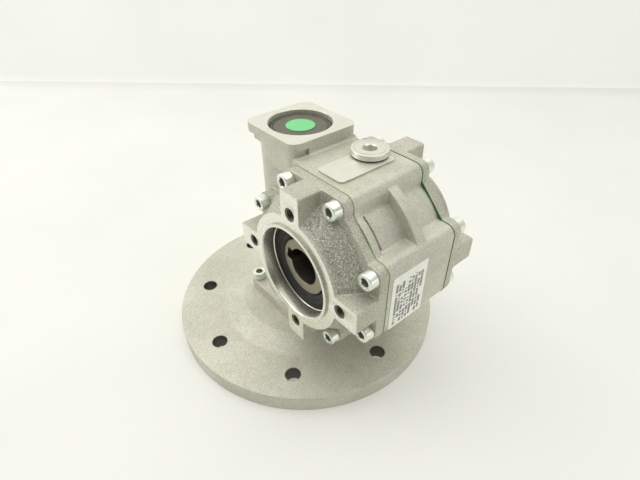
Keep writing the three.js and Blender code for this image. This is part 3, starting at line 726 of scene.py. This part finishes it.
# ---- shared shapes
def body_outline(grow=0.0, pockets=False):
    """The outline that the body, covers and gaskets share.
    It is a square with cut corners and a lobe at each screw. With pockets the corners are hollowed."""
    far, near = polar(SCREW_PITCH_R, 22.5)
    radius = LOBE_R + grow
    corner = CORNER_CUT + grow / 2 + 1.6
    side = near + radius
    lobe = arc(radius, 0, 90, 8)
    quarter = [(far + dx, near + dz, 0) for dx, dz in lobe]
    if pockets:
        start = math.degrees(math.asin(side / POCKET_R))
        quarter += [(x, z, 0) for x, z in arc(POCKET_R, start, 90 - start, 8)]
    else:
        quarter += [(corner, side, 2), (side, corner, 2)]
    quarter += [(near + dx, far + dz, 0) for dx, dz in lobe]
    points = []
    for c, s in ((1, 0), (0, 1), (-1, 0), (0, -1)):
        points += [(x * c - z * s, x * s + z * c, fillet) for x, z, fillet in quarter]
    return rounded(points, 0, 5)


def screw_places():
    """Cover screws: x, z and length."""
    places = []
    for i in range(8):
        dx, dz = polar(SCREW_PITCH_R, 22.5 + 45 * i)
        short = OUT_X + dx - WORM_X < COLUMN_BORE_R
        places.append((OUT_X + dx, OUT_Z + dz, SHORT_SCREW if short else LONG_SCREW))
    return places


def base_screw_places():
    return [(sx * BASE_SCREW, sy * BASE_SCREW) for sx, sy in ((1, 1), (-1, 1), (-1, -1), (1, -1))]


def solid(profile, axis, centre=None, steps=ROUND):
    """A lathe shape without a bore: its ends run in to the axis."""
    return lathe([(0, profile[0][1]), *profile, (0, profile[-1][1])], axis, centre, steps)


def rod(axis, centre, radius, low, high, steps=ROUND_SMALL):
    return solid([(radius, low), (radius, high)], axis, centre, steps)


def cover_screw_rods(low, high, radius=SCREW_HOLE_R, steps=ROUND_HOLE):
    """Rods where the cover screws go, as one tool."""
    rods = [rod("Y", Vector((x, 0, z)), radius, low, high, steps) for x, z, _ in screw_places()]
    return joined("cover_screw_rods", rods)


def base_screw_rods(radius, low, high):
    return [rod("Z", Vector((WORM_X + x, y, 0)), radius, low, high, ROUND_HOLE)
            for x, y in base_screw_places()]


# ---- castings
def clipped_disc(radius, half, steps=120):
    """A disc cut to a square, as an outline."""
    points = []
    for i in range(steps):
        x, z = polar(radius, 360 * i / steps)
        points.append((max(-half, min(half, x)), max(-half, min(half, z))))
    return list(dict.fromkeys(points))


def pocket_groove():
    """The outline of the thin groove between the housing's lip and the floor of a pocket."""
    return arc(POCKET_R - 1.5, 33, 57, 12) + arc(LIP_R + 4, 57, 33, 6)


def corner_fillet(radius):
    """The outline that fills an inner corner with a quarter-round hollow."""
    return [(0, 0)] + [(radius + dx, radius + dz) for dx, dz in arc(radius, 270, 180, 6)]


def housing_parts(side):
    """The closed shapes that melt into the housing's casting."""
    top = OUT_Z + BODY_HALF
    square = COLUMN_R
    half_square = [(0, -square, 0), (square, -square), (square, square), (0, square, 0)]
    side_box = rounded(half_square, TOP_CORNER_R, 8)
    neck = [(0, BASE_TOP - 4), (NECK_R + 1.5, BASE_TOP - 1), (NECK_R, BASE_TOP + 2), (NECK_R, NECK_TOP),
            (COLUMN_R - 0.5, NECK_TOP + 5), (0, NECK_TOP + 5)]
    return [
        prism(body_outline(), "Y", -side, LIP_BACK),
        prism(body_outline(pockets=True), "Y", LIP_BACK - 1, side),
        rod("Y", None, LIP_R, -side, LIP_BACK, ROUND),
        prism(clipped_disc(RIB_R, BODY_HALF), "Y", *RIB_Y),
        rod("Z", None, COLUMN_R, BASE_Z, TOP_Z - 4, ROUND),
        lathe(neck, "Z"),
        prism(rounded_rect(BASE_HALF, BASE_HALF, 6), "Z", BASE_Z - SKIN, BASE_TOP),
        prism(rounded_rect(square, square, TOP_CORNER_R), "Z", TOP_Z - 6, TOP_Z + SKIN),
        prism(rounded_rect(23, 23, 6), "Z", TOP_Z - 11, TOP_Z - 5),
        prism(side_box, "Z", TOP_BOX_Z, TOP_Z - 3),
        block((WORM_X + COLUMN_R - 3, OUT_X - 18), (-24, 24), (TOP_BOX_Z, top)),
        prism(corner_fillet(2.4), "Y", -12, 24, Vector((WORM_X + COLUMN_R - 0.2, 0, top - 0.2))),
    ]


def housing_screw_rods():
    """Holes for the cover screws in both sides of the housing and for the flange screws in its base."""
    rods = []
    for x, z, length in screw_places():
        end = COVER_Y - length - 0.8
        for sign in (-1, 1):
            low, high = sorted((sign * end, sign * (SIDE_Y + 1)))
            rods.append(rod("Y", Vector((x, 0, z)), SCREW_HOLE_R, low, high, ROUND_HOLE))
    return joined("screw_holes", rods + base_screw_rods(BASE_HOLE_R, BASE_Z - 1, BASE_TOP + 1))


def build_housing():
    obj = cast_body("housing", housing_parts(SIDE_Y + SKIN))
    pad_half = ((PAD_X[1] - PAD_X[0]) / 2, (PAD_Y[1] - PAD_Y[0]) / 2)
    pad_middle = (OUT_X + sum(PAD_X) / 2, sum(PAD_Y) / 2)
    combine(obj, prism(rounded_rect(*pad_half, 3, pad_middle), "Z", PAD_TOP - 4, PAD_TOP, ORIGIN), "UNION")
    sides = [prism(body_outline(1.6), "Y", *span) for span in ((-40, -SIDE_Y), (SIDE_Y, 40))]
    top_trim = block((WORM_X - 40, WORM_X + 40), (-40, 40), (TOP_Z, TOP_Z + 9))
    bottom_trim = block((WORM_X - 60, WORM_X + 60), (-60, 60), (BASE_Z - 9, BASE_Z))
    bore = solid([(LOWER_BORE_R, BASE_Z - 2), (LOWER_BORE_R, LOWER_BORE_TOP),
                  (COLUMN_BORE_R, LOWER_BORE_TOP), (COLUMN_BORE_R, TOP_Z - 0.4),
                  (COLUMN_BORE_R + 0.5, TOP_Z + 0.1)], "Z")
    chamber = rod("Y", None, CHAMBER_R, -SIDE_Y - 2, SIDE_Y + 2, ROUND)
    plug_hole = rod("Z", PLUG_CENTRE, PLUG_HOLE_R, 130, PAD_TOP + 2)
    recess = block((WORM_X + COLUMN_R - 2, WORM_X + COLUMN_R + 3), (-23, -13.5),
                   (OUT_Z + BODY_HALF + 0.3, OUT_Z + BODY_HALF + 4.4))
    grooves = []
    for turn in (0, 90):
        grooves.append(turned(prism(pocket_groove(), "Y", LIP_BACK, LIP_BACK + GROOVE_WIDE), turn))
    cut(obj, *sides, top_trim, bottom_trim, bore, chamber, plug_hole, recess, *grooves, housing_screw_rods())
    cover_all(obj, CAST)
    paint(obj, MILLED, lambda c, n: (n[:, 2] > 0.99) & on(c[:, 2], TOP_Z))
    paint(obj, MILLED, lambda c, n: (n[:, 2] > 0.99) & on(c[:, 2], PAD_TOP))
    paint(obj, FACED, lambda c, n: (abs(n[:, 1]) > 0.99) & on(abs(c[:, 1]), SIDE_Y))
    paint(obj, CAP_BORE, lambda c, n: (from_worm(c) < COLUMN_BORE_R + 1.1) & (c[:, 2] > 140)
          & (n[:, 2] < 0.95))
    piece(obj, "housing_casting", "housing", ["main_housing"])


def tapped_hole(dz):
    """A threaded hole in the cover's face, above the output axis."""
    face = -FACE_Y
    profile = [(0, face - 3), (TAPPED_MOUTH_R, face - 3), (TAPPED_MOUTH_R, face)]
    depth = 0.7
    while depth < TAPPED_DEPTH:
        profile.append((TAPPED_R - 0.4, face + depth))
        profile.append((TAPPED_R + 0.35, face + depth + 0.6))
        depth += THREAD_PITCH
    profile.append((0, face + TAPPED_DEPTH + 2))
    return lathe(profile, "Y", OUT_CENTRE + Vector((0, 0, dz)), 32)


def cover_arm():
    """The block above the output axis that holds a tapped hole."""
    half = BLOCK_HALF
    outline = [(-half - 0.5, 33), (half + 0.5, 33), (half + 0.3, BODY_HALF - 0.8), (half - 0.9, BODY_HALF),
               (-half + 0.9, BODY_HALF), (-half - 0.3, BODY_HALF - 0.8)]
    return prism(outline, "Y", -FACE_Y - SKIN, -COVER_Y + 2)


def build_cover(name, cad_node, rear):
    """A side cover for the -Y side, turned half round for the other side."""
    plate = prism(body_outline(), "Y", -COVER_Y, -GASKET_Y + SKIN)
    dome = solid([(45.5, -24), (46, -COVER_Y), (COVER_RING_R, -46.5), (COVER_RING_R, -51.5)], "Y")
    obj = cast_body(name, [plate, dome, *(turned(cover_arm(), 90 * i) for i in range(4))])
    outside = lathe([(COVER_LIP_R, -60), (85, -60), (85, -FACE_Y), (COVER_LIP_R, -FACE_Y)], "Y")
    lip_top = rod("Y", None, 40, -60, -LIP_Y, ROUND)
    inside = solid([(COVER_HUB_R, -HUB_INNER_Y), (COVER_HUB_R, -31), (COVER_SPIGOT_R, -31),
                    (COVER_SPIGOT_R, -GASKET_Y), (85, -GASKET_Y), (85, -10)], "Y")
    bore = solid([(BEARING_R, -20), (BEARING_R, -34.1), (SHOULDER_R, -34.1),
                  (SHOULDER_R, -34.8), (BORE_R, -34.8), (BORE_R, -SEAL_FACE_Y - 0.05),
                  (BORE_R + 0.45, -SEAL_FACE_Y - 0.45), (BORE_R + 0.45, -LIP_Y + 0.7),
                  (BORE_R + 1.05, -LIP_Y - 0.05), (BORE_R + 1.05, -62)], "Y")
    screws = cover_screw_rods(-COVER_Y - 1, -20)
    seats = cover_screw_rods(-COVER_Y - 5, -COVER_Y, HEAD_R + 0.7, 48)
    tapped = [turned(tapped_hole(TAPPED_PITCH_R), 90 * i) for i in range(4)]
    cut(obj, outside, lip_top, inside, bore, screws, seats, joined("tapped_holes", tapped))
    cover_all(obj, CAST_COVER)
    paint(obj, FACED, lambda c, n: (n[:, 1] < -0.99) & (on(c[:, 1], -FACE_Y) | on(c[:, 1], -LIP_Y)))
    paint(obj, FACED, lambda c, n: (n[:, 1] > 0.99) & on(c[:, 1], -GASKET_Y))
    # The bore wall gets the darkened bored material: painted shade.
    paint(obj, BORED_WITH_SHADE, lambda c, n: (from_output(c) < BORE_R + 0.5) & (c[:, 1] < -20)
          & (abs(n[:, 1]) < 0.9))
    paint(obj, FACED, lambda c, n: (from_output(c) < COVER_LIP_R + 0.05) & (c[:, 1] < -34.9)
          & (abs(n[:, 1]) > 0.2) & (abs(n[:, 1]) < 0.9))
    # The cone's faces get the darker cast look: partly rougher grain, partly painted shade.
    paint(obj, DOME_CAST_AND_SHADE, on_dome)
    # Walls of the tapped holes get the near-black material: painted shade.
    paint(obj, HOLE_PAINTED_SHADE, in_tapped)
    if rear:
        turned(obj, 180, "Z")
    piece(obj, name, "housing", [cad_node])


def on_dome(c, n):
    """Faces of the cover's cone, between its blocks and lobes."""
    out_x = c[:, 0] - OUT_X
    out_z = c[:, 2] - OUT_Z
    radius = from_output(c)
    outward = (n[:, 0] * out_x + n[:, 2] * out_z) / radius
    around = (n[:, 0] * out_z - n[:, 2] * out_x) / radius
    slope = (outward > 0.3) & (abs(around) < 0.3) & (n[:, 1] < -0.15)
    return slope & (radius > 34) & (radius < 50) & (c[:, 1] < -COVER_Y + 1)


def in_holes(u, v, count, pitch_r, radius):
    """Which points lie within radius of a hole's middle on a circle of holes."""
    inside = np.zeros(len(u), bool)
    for i in range(count):
        x, y = polar(pitch_r, 360 * i / count)
        inside |= np.hypot(u - x, v - y) < radius
    return inside


def in_tapped(c, n):
    """Faces inside the four tapped holes, whichever way they face."""
    near = in_holes(c[:, 0] - OUT_X, c[:, 2] - OUT_Z, 4, TAPPED_PITCH_R, TAPPED_MOUTH_R - 0.05)
    return near & (c[:, 1] > -FACE_Y + 0.05) & (c[:, 1] < -COVER_Y)


def build_gasket(name, cad_node, material, sign):
    low, high = sorted((sign * SIDE_Y, sign * GASKET_Y))
    sheet = prism(body_outline(GASKET_PROUD), "Y", low, high)
    hole = rod("Y", None, CHAMBER_R, low - 1, high + 1, ROUND)
    cut(sheet, hole, cover_screw_rods(low - 1, high + 1))
    cover_all(sheet, material)
    piece(sheet, name, "housing", [cad_node])


def build_flange():
    profile = rounded([
        (FLANGE_BORE_R, SPIGOT_DEPTH, 0.4), (SPIGOT_R, SPIGOT_DEPTH, 0.4), (SPIGOT_R, 0, 0.4),
        (FLANGE_R, 0, 0.5), (FLANGE_R, FLANGE_T, 1.1), (66, FLANGE_T, 14), (50, FLANGE_HUB_Z, 2.5),
        (FLANGE_BORE_R, FLANGE_HUB_Z, 0.4),
    ], 0.5, 8)
    obj = lathe(profile, "Z", steps=256)
    rim = RIM_HOLE_R + 0.4
    wall = RIM_HOLE_R
    hole = [(rim, -1), (rim, 0), (wall, 0.4), (wall, FLANGE_T - 0.4), (rim, FLANGE_T), (rim, FLANGE_T + 1)]
    holes = []
    for i in range(8):
        x, y = polar(RIM_PITCH_R, 45 * i)
        holes.append(solid(hole, "Z", Vector((WORM_X + x, y, 0)), 48))
    screws = base_screw_rods(SCREW_HOLE_R, 7, FLANGE_HUB_Z + 1)
    cut(obj, joined("rim_holes", holes), joined("screw_holes", screws))
    cover_all(obj, CAST_FLANGE)
    paint(obj, MILLED_UNDER, lambda c, n: (c[:, 2] < SPIGOT_DEPTH + 0.2) & (from_worm(c) < FLANGE_R - 0.5)
          & (n[:, 2] < 0.5))
    # Walls of the rim holes get the near-black material: painted shade.
    paint(obj, HOLE_PAINTED_SHADE, in_flange_hole)
    piece(obj, "motor_flange_plate", "housing", ["motor_flange"])


def in_flange_hole(c, n):
    """Walls of the eight holes near the flange's rim."""
    near = in_holes(c[:, 0] - WORM_X, c[:, 1], 8, RIM_PITCH_R, RIM_HOLE_R + 0.02)
    return near & (abs(n[:, 2]) < 0.5)


# ---- screws, plug and cap
def hex_prism(corner, turn, fillet, floor, top, centre):
    """The tool that cuts a hexagon socket."""
    outline = rounded([polar(corner, 60 * i + turn) for i in range(6)], fillet, 3)
    return prism(outline, "Z", floor, top + 1, centre)


def screw_mesh(length):
    """A socket head cap screw pointing down -Z, its head seated at z = 0, in metres."""
    profile = rounded([
        (0, -length, 0), (SHANK_R - 0.7, -length, 0), (SHANK_R, -length + 0.8, 0), (SHANK_R, 0, 0),
        (HEAD_R - 0.15, 0, 0.1), (HEAD_R, 0.3, 0.2), (HEAD_R, HEAD_T, 0.75), (0, HEAD_T, 0),
    ], 0.2, 6, closed=False)
    obj = lathe(profile, "Z", ORIGIN, ROUND_SMALL)
    corner = HEX_ACROSS / math.sqrt(3)
    floor = HEAD_T - HEX_DEPTH
    hexagon = hex_prism(corner, 0, 0.18, floor, HEAD_T, ORIGIN)
    tip = lathe([(0, floor - 0.9), (HEX_ACROSS / 2 - 0.1, floor + 0.01), (0, floor + 0.02)], "Z", ORIGIN, 24)
    mouth = solid([(HEX_ACROSS / 2, HEAD_T - 0.5), (corner + 0.35, HEAD_T + 0.1)], "Z", ORIGIN, 48)
    cut(obj, hexagon, tip, mouth)
    cover_all(obj, ZINC)
    paint(obj, SOCKET, lambda c, n: (np.hypot(c[:, 0], c[:, 1]) < corner - 0.02)
          & (c[:, 2] > floor - 1) & (c[:, 2] < HEAD_T - 0.45))
    mesh = obj.data
    mesh.transform(Matrix.Scale(MM, 4))
    smooth(mesh, 35)
    bpy.data.objects.remove(obj)
    return mesh


def place_screw(name, mesh, position, direction, cad_node):
    """Puts a screw with its head's underside at position and its head towards direction."""
    obj = linked(name, mesh)
    turn = direction.to_track_quat("Z", "Y").to_matrix().to_4x4()
    obj.matrix_world = Matrix.Translation(position * MM) @ turn
    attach(obj, "housing")
    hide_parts(cad_node)


def spun(mesh, degrees):
    copy = mesh.copy()
    copy.transform(Matrix.Rotation(math.radians(degrees), 4, "Z"))
    return copy


def build_screws():
    """All screws. Each length comes in a few turns of its socket, as hand-tightened screws do."""
    meshes = {}
    for length in (LONG_SCREW, SHORT_SCREW, BASE_SCREW_LENGTH):
        first = screw_mesh(length)
        meshes[length] = [spun(first, degrees) for degrees in (5, 22, 41, 53)]
    draw = random.Random(7)
    for i, (x, z, length) in enumerate(screw_places(), 1):
        for word, sign in (("front", -1), ("rear", 1)):
            spot = Vector((x, sign * COVER_Y, z))
            place_screw(f"{word}_cover_screw_{i}", draw.choice(meshes[length]), spot, Vector((0, sign, 0)),
                        f"{word}_cover_bolt_{i}")
    for i, (x, y) in enumerate(base_screw_places(), 1):
        spot = Vector((WORM_X + x, y, BASE_TOP))
        place_screw(f"flange_screw_{i}", draw.choice(meshes[BASE_SCREW_LENGTH]), spot, Vector((0, 0, 1)),
                    f"flange_bolt_{i}")


def build_plug():
    top, low = PLUG_HIGH.z, PLUG_LOW.z
    profile = rounded([
        (0, low, 0), (5.2, low, 0), (6, low + 0.8, 0), (6, PLUG_SEAT, 0.2), (PLUG_R, PLUG_SEAT, 0.45),
        (PLUG_R, top, 0.5), (0, top, 0),
    ], 0.3, 5, closed=False)
    obj = lathe(profile, "Z", PLUG_CENTRE)
    corner = PLUG_HEX / math.sqrt(3)
    hexagon = hex_prism(corner, 12, 0.25, top - PLUG_HEX_DEPTH, top, PLUG_CENTRE)
    mouth = solid([(PLUG_HEX / 2, top - 0.7), (corner + 0.3, top + 0.1)], "Z", PLUG_CENTRE, ROUND_SMALL)
    groove = lathe([(PLUG_R - 2.4, top - 0.22), (PLUG_R - 2.0, top - 0.22), (PLUG_R - 1.9, top + 0.2),
                    (PLUG_R - 2.5, top + 0.2)], "Z", PLUG_CENTRE)
    cut(obj, hexagon, mouth, groove)
    cover_all(obj, PLUG)
    piece(obj, "oil_plug_turned", "housing", ["oil_plug"])
    ring = rounded([(6.3, PAD_TOP + 0.03), (PLUG_R - 0.5, PAD_TOP + 0.03), (PLUG_R - 0.5, PLUG_SEAT - 0.02),
                    (6.3, PLUG_SEAT - 0.02)], 0.2, 4)
    washer = lathe(ring, "Z", PLUG_CENTRE)
    cover_all(washer, WASHER)
    piece(washer, "oil_plug_seal_ring", "housing", ["oil_plug_washer"])


def build_cap():
    rim = CAP_HIGH.z
    floor = DISC_HIGH.z - DISC_PROUD
    profile = rounded([
        (0, CAP_LOW.z, 0), (CAP_R, CAP_LOW.z, 0.3), (CAP_R, rim - 0.3, 0.25), (19.7, rim - 0.3, 0.2),
        (19.5, rim - 1.4, 0.1), (19.1, rim - 1.4, 0.1), (18.9, rim, 0.2),
        (18.0, rim, 0.3), (17.7, floor - 0.7, 0.1), (17.3, floor - 0.7, 0.1), (17.1, floor, 0.2),
        (13.5, floor + 0.05, 1), (12.2, floor, 1), (0, floor, 0),
    ], 0.2, 4, closed=False)
    cap = lathe(profile, "Z")
    cover_all(cap, CAP)
    piece(cap, "worm_end_cap_moulding", "housing", ["worm_end_cap"])
    top = DISC_HIGH.z
    shape = rounded([(0, floor, 0), (DISC_R, floor, 0.1), (DISC_R, top, 0.35), (DISC_R - 2, top, 1),
                     (0, top, 0)], 0.2, 5, closed=False)
    disc = lathe(shape, "Z")
    cover_all(disc, GREEN)
    piece(disc, "end_cap_disc_moulding", "housing", ["end_cap_disc"])


def build_plate():
    """The rating plate: a thin sheet with rounded corners and a small bevel round its face."""
    half_y = (PLATE_HIGH.y - PLATE_LOW.y) / 2
    half_z = (PLATE_HIGH.z - PLATE_LOW.z) / 2
    middle = (PLATE_LOW + PLATE_HIGH) / 2
    outline = rounded_rect(half_y, half_z, 1.2, (middle.y, middle.z))
    bevel = 0.08
    face = []
    for y, z in outline:
        dy = bevel * (1 if y < middle.y else -1)
        dz = bevel * (1 if z < middle.z else -1)
        face.append((PLATE_HIGH.x, y + dy, z + dz))
    back = [(PLATE_LOW.x, y, z) for y, z in outline]
    shoulder = [(PLATE_HIGH.x - bevel, y, z) for y, z in outline]
    plate = stacked("plate", (back, shoulder, face))
    cover_all(plate, PLATE)
    piece(plate, "rating_plate_sheet", "housing", ["rating_plate"], 25)


# ---- shaft and seals
def build_output_shaft():
    half = SHAFT_HALF
    ring = rounded([
        (SHAFT_BORE_R, -half, 0.7), (SHAFT_R, -half, 0.6), (SHAFT_R, half, 0.6), (SHAFT_BORE_R, half, 0.7),
    ], 0.6, 4)
    obj = lathe(ring, "Y")
    slot_outline = rounded([(0, -KEYWAY_HALF, 0), (KEYWAY_R, -KEYWAY_HALF, 0.3), (KEYWAY_R, KEYWAY_HALF, 0.3),
                            (0, KEYWAY_HALF, 0)], 0.3, 3)
    angle = math.radians(KEYWAY_ANGLE)
    outline = [(u * math.cos(angle) - v * math.sin(angle), u * math.sin(angle) + v * math.cos(angle))
               for u, v in slot_outline]
    slot = prism(outline, "Y", -half - 1, half + 1)
    seat = block((OUT_X - KEY_SEAT_HALF, OUT_X + KEY_SEAT_HALF), (-12, 12), (OUT_Z + 14.9, OUT_Z + 19))
    cut(obj, slot, seat)
    cover_all(obj, SHAFT_FACE)
    paint(obj, SHAFT_BORE, lambda c, n: (from_output(c) < SHAFT_R - 0.3) & (abs(c[:, 1]) < half - 0.3))
    piece(obj, "output_shaft_turned", "output", ["output_shaft"])


def seal_profile(outer, inner, face):
    """A radial shaft seal in section: outer case, moulded face with ridges, and the lip on the shaft."""
    return rounded([
        (outer, face - 6.5, 0.2), (outer, face - 0.3, 0.25), (outer - 0.5, face, 0.1),
        (outer - 1.5, face, 0.15),
        (outer - 1.8, face - 0.7, 0.1), (outer - 2.3, face - 0.7, 0.1), (outer - 2.7, face - 0.15, 0.2),
        (outer - 5.2, face - 0.2, 0.2), (outer - 5.6, face - 0.75, 0.1), (outer - 6.0, face - 0.75, 0.1),
        (outer - 6.5, face - 0.3, 0.2), (inner + 1.6, face - 0.5, 0.3), (inner + 0.5, face - 1.4, 0.3),
        (inner, face - 2.2, 0.2), (inner, face - 4.2, 0.2), (inner + 2.6, face - 4.4, 0.4),
        (inner + 3.2, face - 2.7, 0.4), (outer - 2, face - 2.7, 0.4), (outer - 2, face - 6.5, 0.2),
    ], 0.2, 3)


def build_seal(name, cad_node, profile, axis, sign):
    """A seal whose face looks along the axis, or against it where sign is -1."""
    obj = lathe([(r, sign * along) for r, along in profile], axis)
    cover_all(obj, SEAL)
    piece(obj, name, "housing", [cad_node], 50)


def build_seals():
    output = seal_profile(SEAL_R, SHAFT_R + 0.2, SEAL_FACE_Y)
    build_seal("front_output_seal_ring", "front_output_seal", output, "Y", -1)
    build_seal("rear_output_seal_ring", "rear_output_seal", output, "Y", 1)
    low, high = mm_box("input_seal")
    downward = seal_profile((high.x - low.x) / 2, WORM_JOURNAL_R + 0.2, -low.z)
    build_seal("input_seal_ring", "input_seal", downward, "Z", -1)


def dress_cad_nodes():
    """Materials and smooth shading for the CAD nodes that stay."""
    looks = {
        "worm_shaft": WORM_STEEL, "wheel_key": WORM_STEEL, "wheel_hub": HUB_IRON,
        "wheel_rim": BRONZE, "front_spacer_ring": WORM_STEEL, "rear_spacer_ring": WORM_STEEL,
    }
    for name, node in frame["nodes"].items():
        if node.hide_render:
            continue
        cover_all(node, looks.get(name, BEARING))
        smooth(node.data, 30)


# ---- stage, lights and camera
CAMERA_PLACE = Vector((0.207405, -0.158877, 0.268779))
CAMERA_AZIMUTH = math.radians(50.392)
CAMERA_ELEVATION = math.radians(37.718)
CAMERA_ROLL = math.radians(-0.534)
CAMERA_LENS = 24.893
SENSOR_WIDTH = 36
WALL_TURN = math.radians(-3.6)
ROOM_SIDE = Vector((0.45, -0.47, 0.76))
WALL_DISTANCE = 0.525
WALL_BEND = 0.02
FLOOR_GLOW = 0.24
WALL_GLOW = 0.36
SKY_STRENGTH = 0.45
ROOM_STRENGTH = 0.08
ROOM_SPAN = (0.65, 0.94)  # cosines of the angle to ROOM_SIDE where the room begins and is full
LIGHT_TARGET = Vector((0, 0, 0.08))
LIGHTS = (  # name, place in metres, size in metres, watts, colour
    ("top_light", (-0.15, 0.08, 1.2), (2.0, 2.0), 19, (1, 0.995, 0.95)),
    ("left_light", (-0.9, -0.75, 0.7), (0.9, 0.8), 4.2, (1, 0.995, 0.96)),
    ("right_light", (1.05, 0.35, 0.23), (0.9, 0.35), 1.1, (1, 0.995, 0.96)),
)


def build_camera():
    data = bpy.data.cameras.new("camera")
    data.lens = CAMERA_LENS
    data.sensor_width = SENSOR_WIDTH
    data.clip_start = 0.01
    data.clip_end = 20
    camera = linked("camera", data)
    ca, sa = math.cos(CAMERA_AZIMUTH), math.sin(CAMERA_AZIMUTH)
    ce, se = math.cos(CAMERA_ELEVATION), math.sin(CAMERA_ELEVATION)
    back = Vector((sa * ce, -ca * ce, se))
    level = Vector((ca, sa, 0))
    upright = back.cross(level)
    right = level * math.cos(CAMERA_ROLL) + upright * math.sin(CAMERA_ROLL)
    up = upright * math.cos(CAMERA_ROLL) - level * math.sin(CAMERA_ROLL)
    turn = Matrix((right, up, back)).transposed().to_4x4()
    camera.matrix_world = Matrix.Translation(CAMERA_PLACE) @ turn
    bpy.context.scene.camera = camera
    return back


def area_light(name, place, size, power, colour):
    data = bpy.data.lights.new(name, "AREA")
    data.shape = "RECTANGLE"
    data.size, data.size_y = size
    data.energy = power
    data.color = colour
    light = linked(name, data)
    light.location = place
    light.visible_camera = False
    light.rotation_mode = "QUATERNION"
    light.rotation_quaternion = (LIGHT_TARGET - Vector(place)).to_track_quat("-Z", "Y")


def build_stage(back):
    """A pale floor that curves up into a pale wall behind the object, as in a photo booth."""
    away = Matrix.Rotation(WALL_TURN, 3, "Z") @ Vector((-back.x, -back.y, 0)).normalized()
    side = Vector((-away.y, away.x, 0))
    start = WALL_DISTANCE - WALL_BEND
    profile = [(-3.0, 0.0), (start, 0.0)]
    for k in range(1, 9):
        angle = math.radians(90 * k / 8)
        profile.append((start + WALL_BEND * math.sin(angle), WALL_BEND * (1 - math.cos(angle))))
    profile.append((WALL_DISTANCE, 2.6))
    bm = bmesh.new()
    rows = []
    for along, height in profile:
        lift = Vector((0, 0, height - 0.0002))
        rows.append([bm.verts.new(away * along + side * reach + lift) for reach in (-3.5, 3.5)])
    for (a, b), (c, d) in zip(rows, rows[1:]):
        bm.faces.new((a, b, d, c))
    floor = as_object("studio_floor", bm)
    floor.data.shade_smooth()
    cover_all(floor, stage_material("studio_floor", FLOOR_GLOW))
    paint(floor, stage_material("studio_wall", WALL_GLOW), lambda c, n: c[:, 2] > 0.01)


def build_world():
    """Soft light from all round, with a darker room on the side that the wall and the floor leave open."""
    world = bpy.data.worlds.new("studio")
    world.use_nodes = True
    tree = world.node_tree
    background = tree.nodes["Background"]
    place = tree.nodes.new("ShaderNodeTexCoord")
    toward = tree.nodes.new("ShaderNodeVectorMath")
    toward.operation = "DOT_PRODUCT"
    toward.inputs[1].default_value = ROOM_SIDE
    tree.links.new(place.outputs["Generated"], toward.inputs[0])
    ramp = tree.nodes.new("ShaderNodeMapRange")
    ramp.interpolation_type = "SMOOTHSTEP"
    tree.links.new(toward.outputs["Value"], ramp.inputs["Value"])
    set_span(ramp, *ROOM_SPAN, SKY_STRENGTH, ROOM_STRENGTH)
    tree.links.new(ramp.outputs["Result"], background.inputs["Strength"])
    background.inputs["Color"].default_value = (0.94, 0.945, 0.90, 1)
    bpy.context.scene.world = world
    bpy.context.scene.view_settings.view_transform = "Standard"


def main():
    back = build_camera()
    build_housing()
    build_cover("front_cover_casting", "front_cover", False)
    build_cover("rear_cover_casting", "rear_cover", True)
    build_gasket("front_gasket_line", "front_gasket", GASKET_FRONT, -1)
    build_gasket("rear_gasket_line", "rear_gasket", GASKET_REAR, 1)
    build_flange()
    build_screws()
    build_plug()
    build_cap()
    build_plate()
    build_output_shaft()
    build_seals()
    dress_cad_nodes()
    build_stage(back)
    build_world()
    for light in LIGHTS:
        area_light(*light)


main()
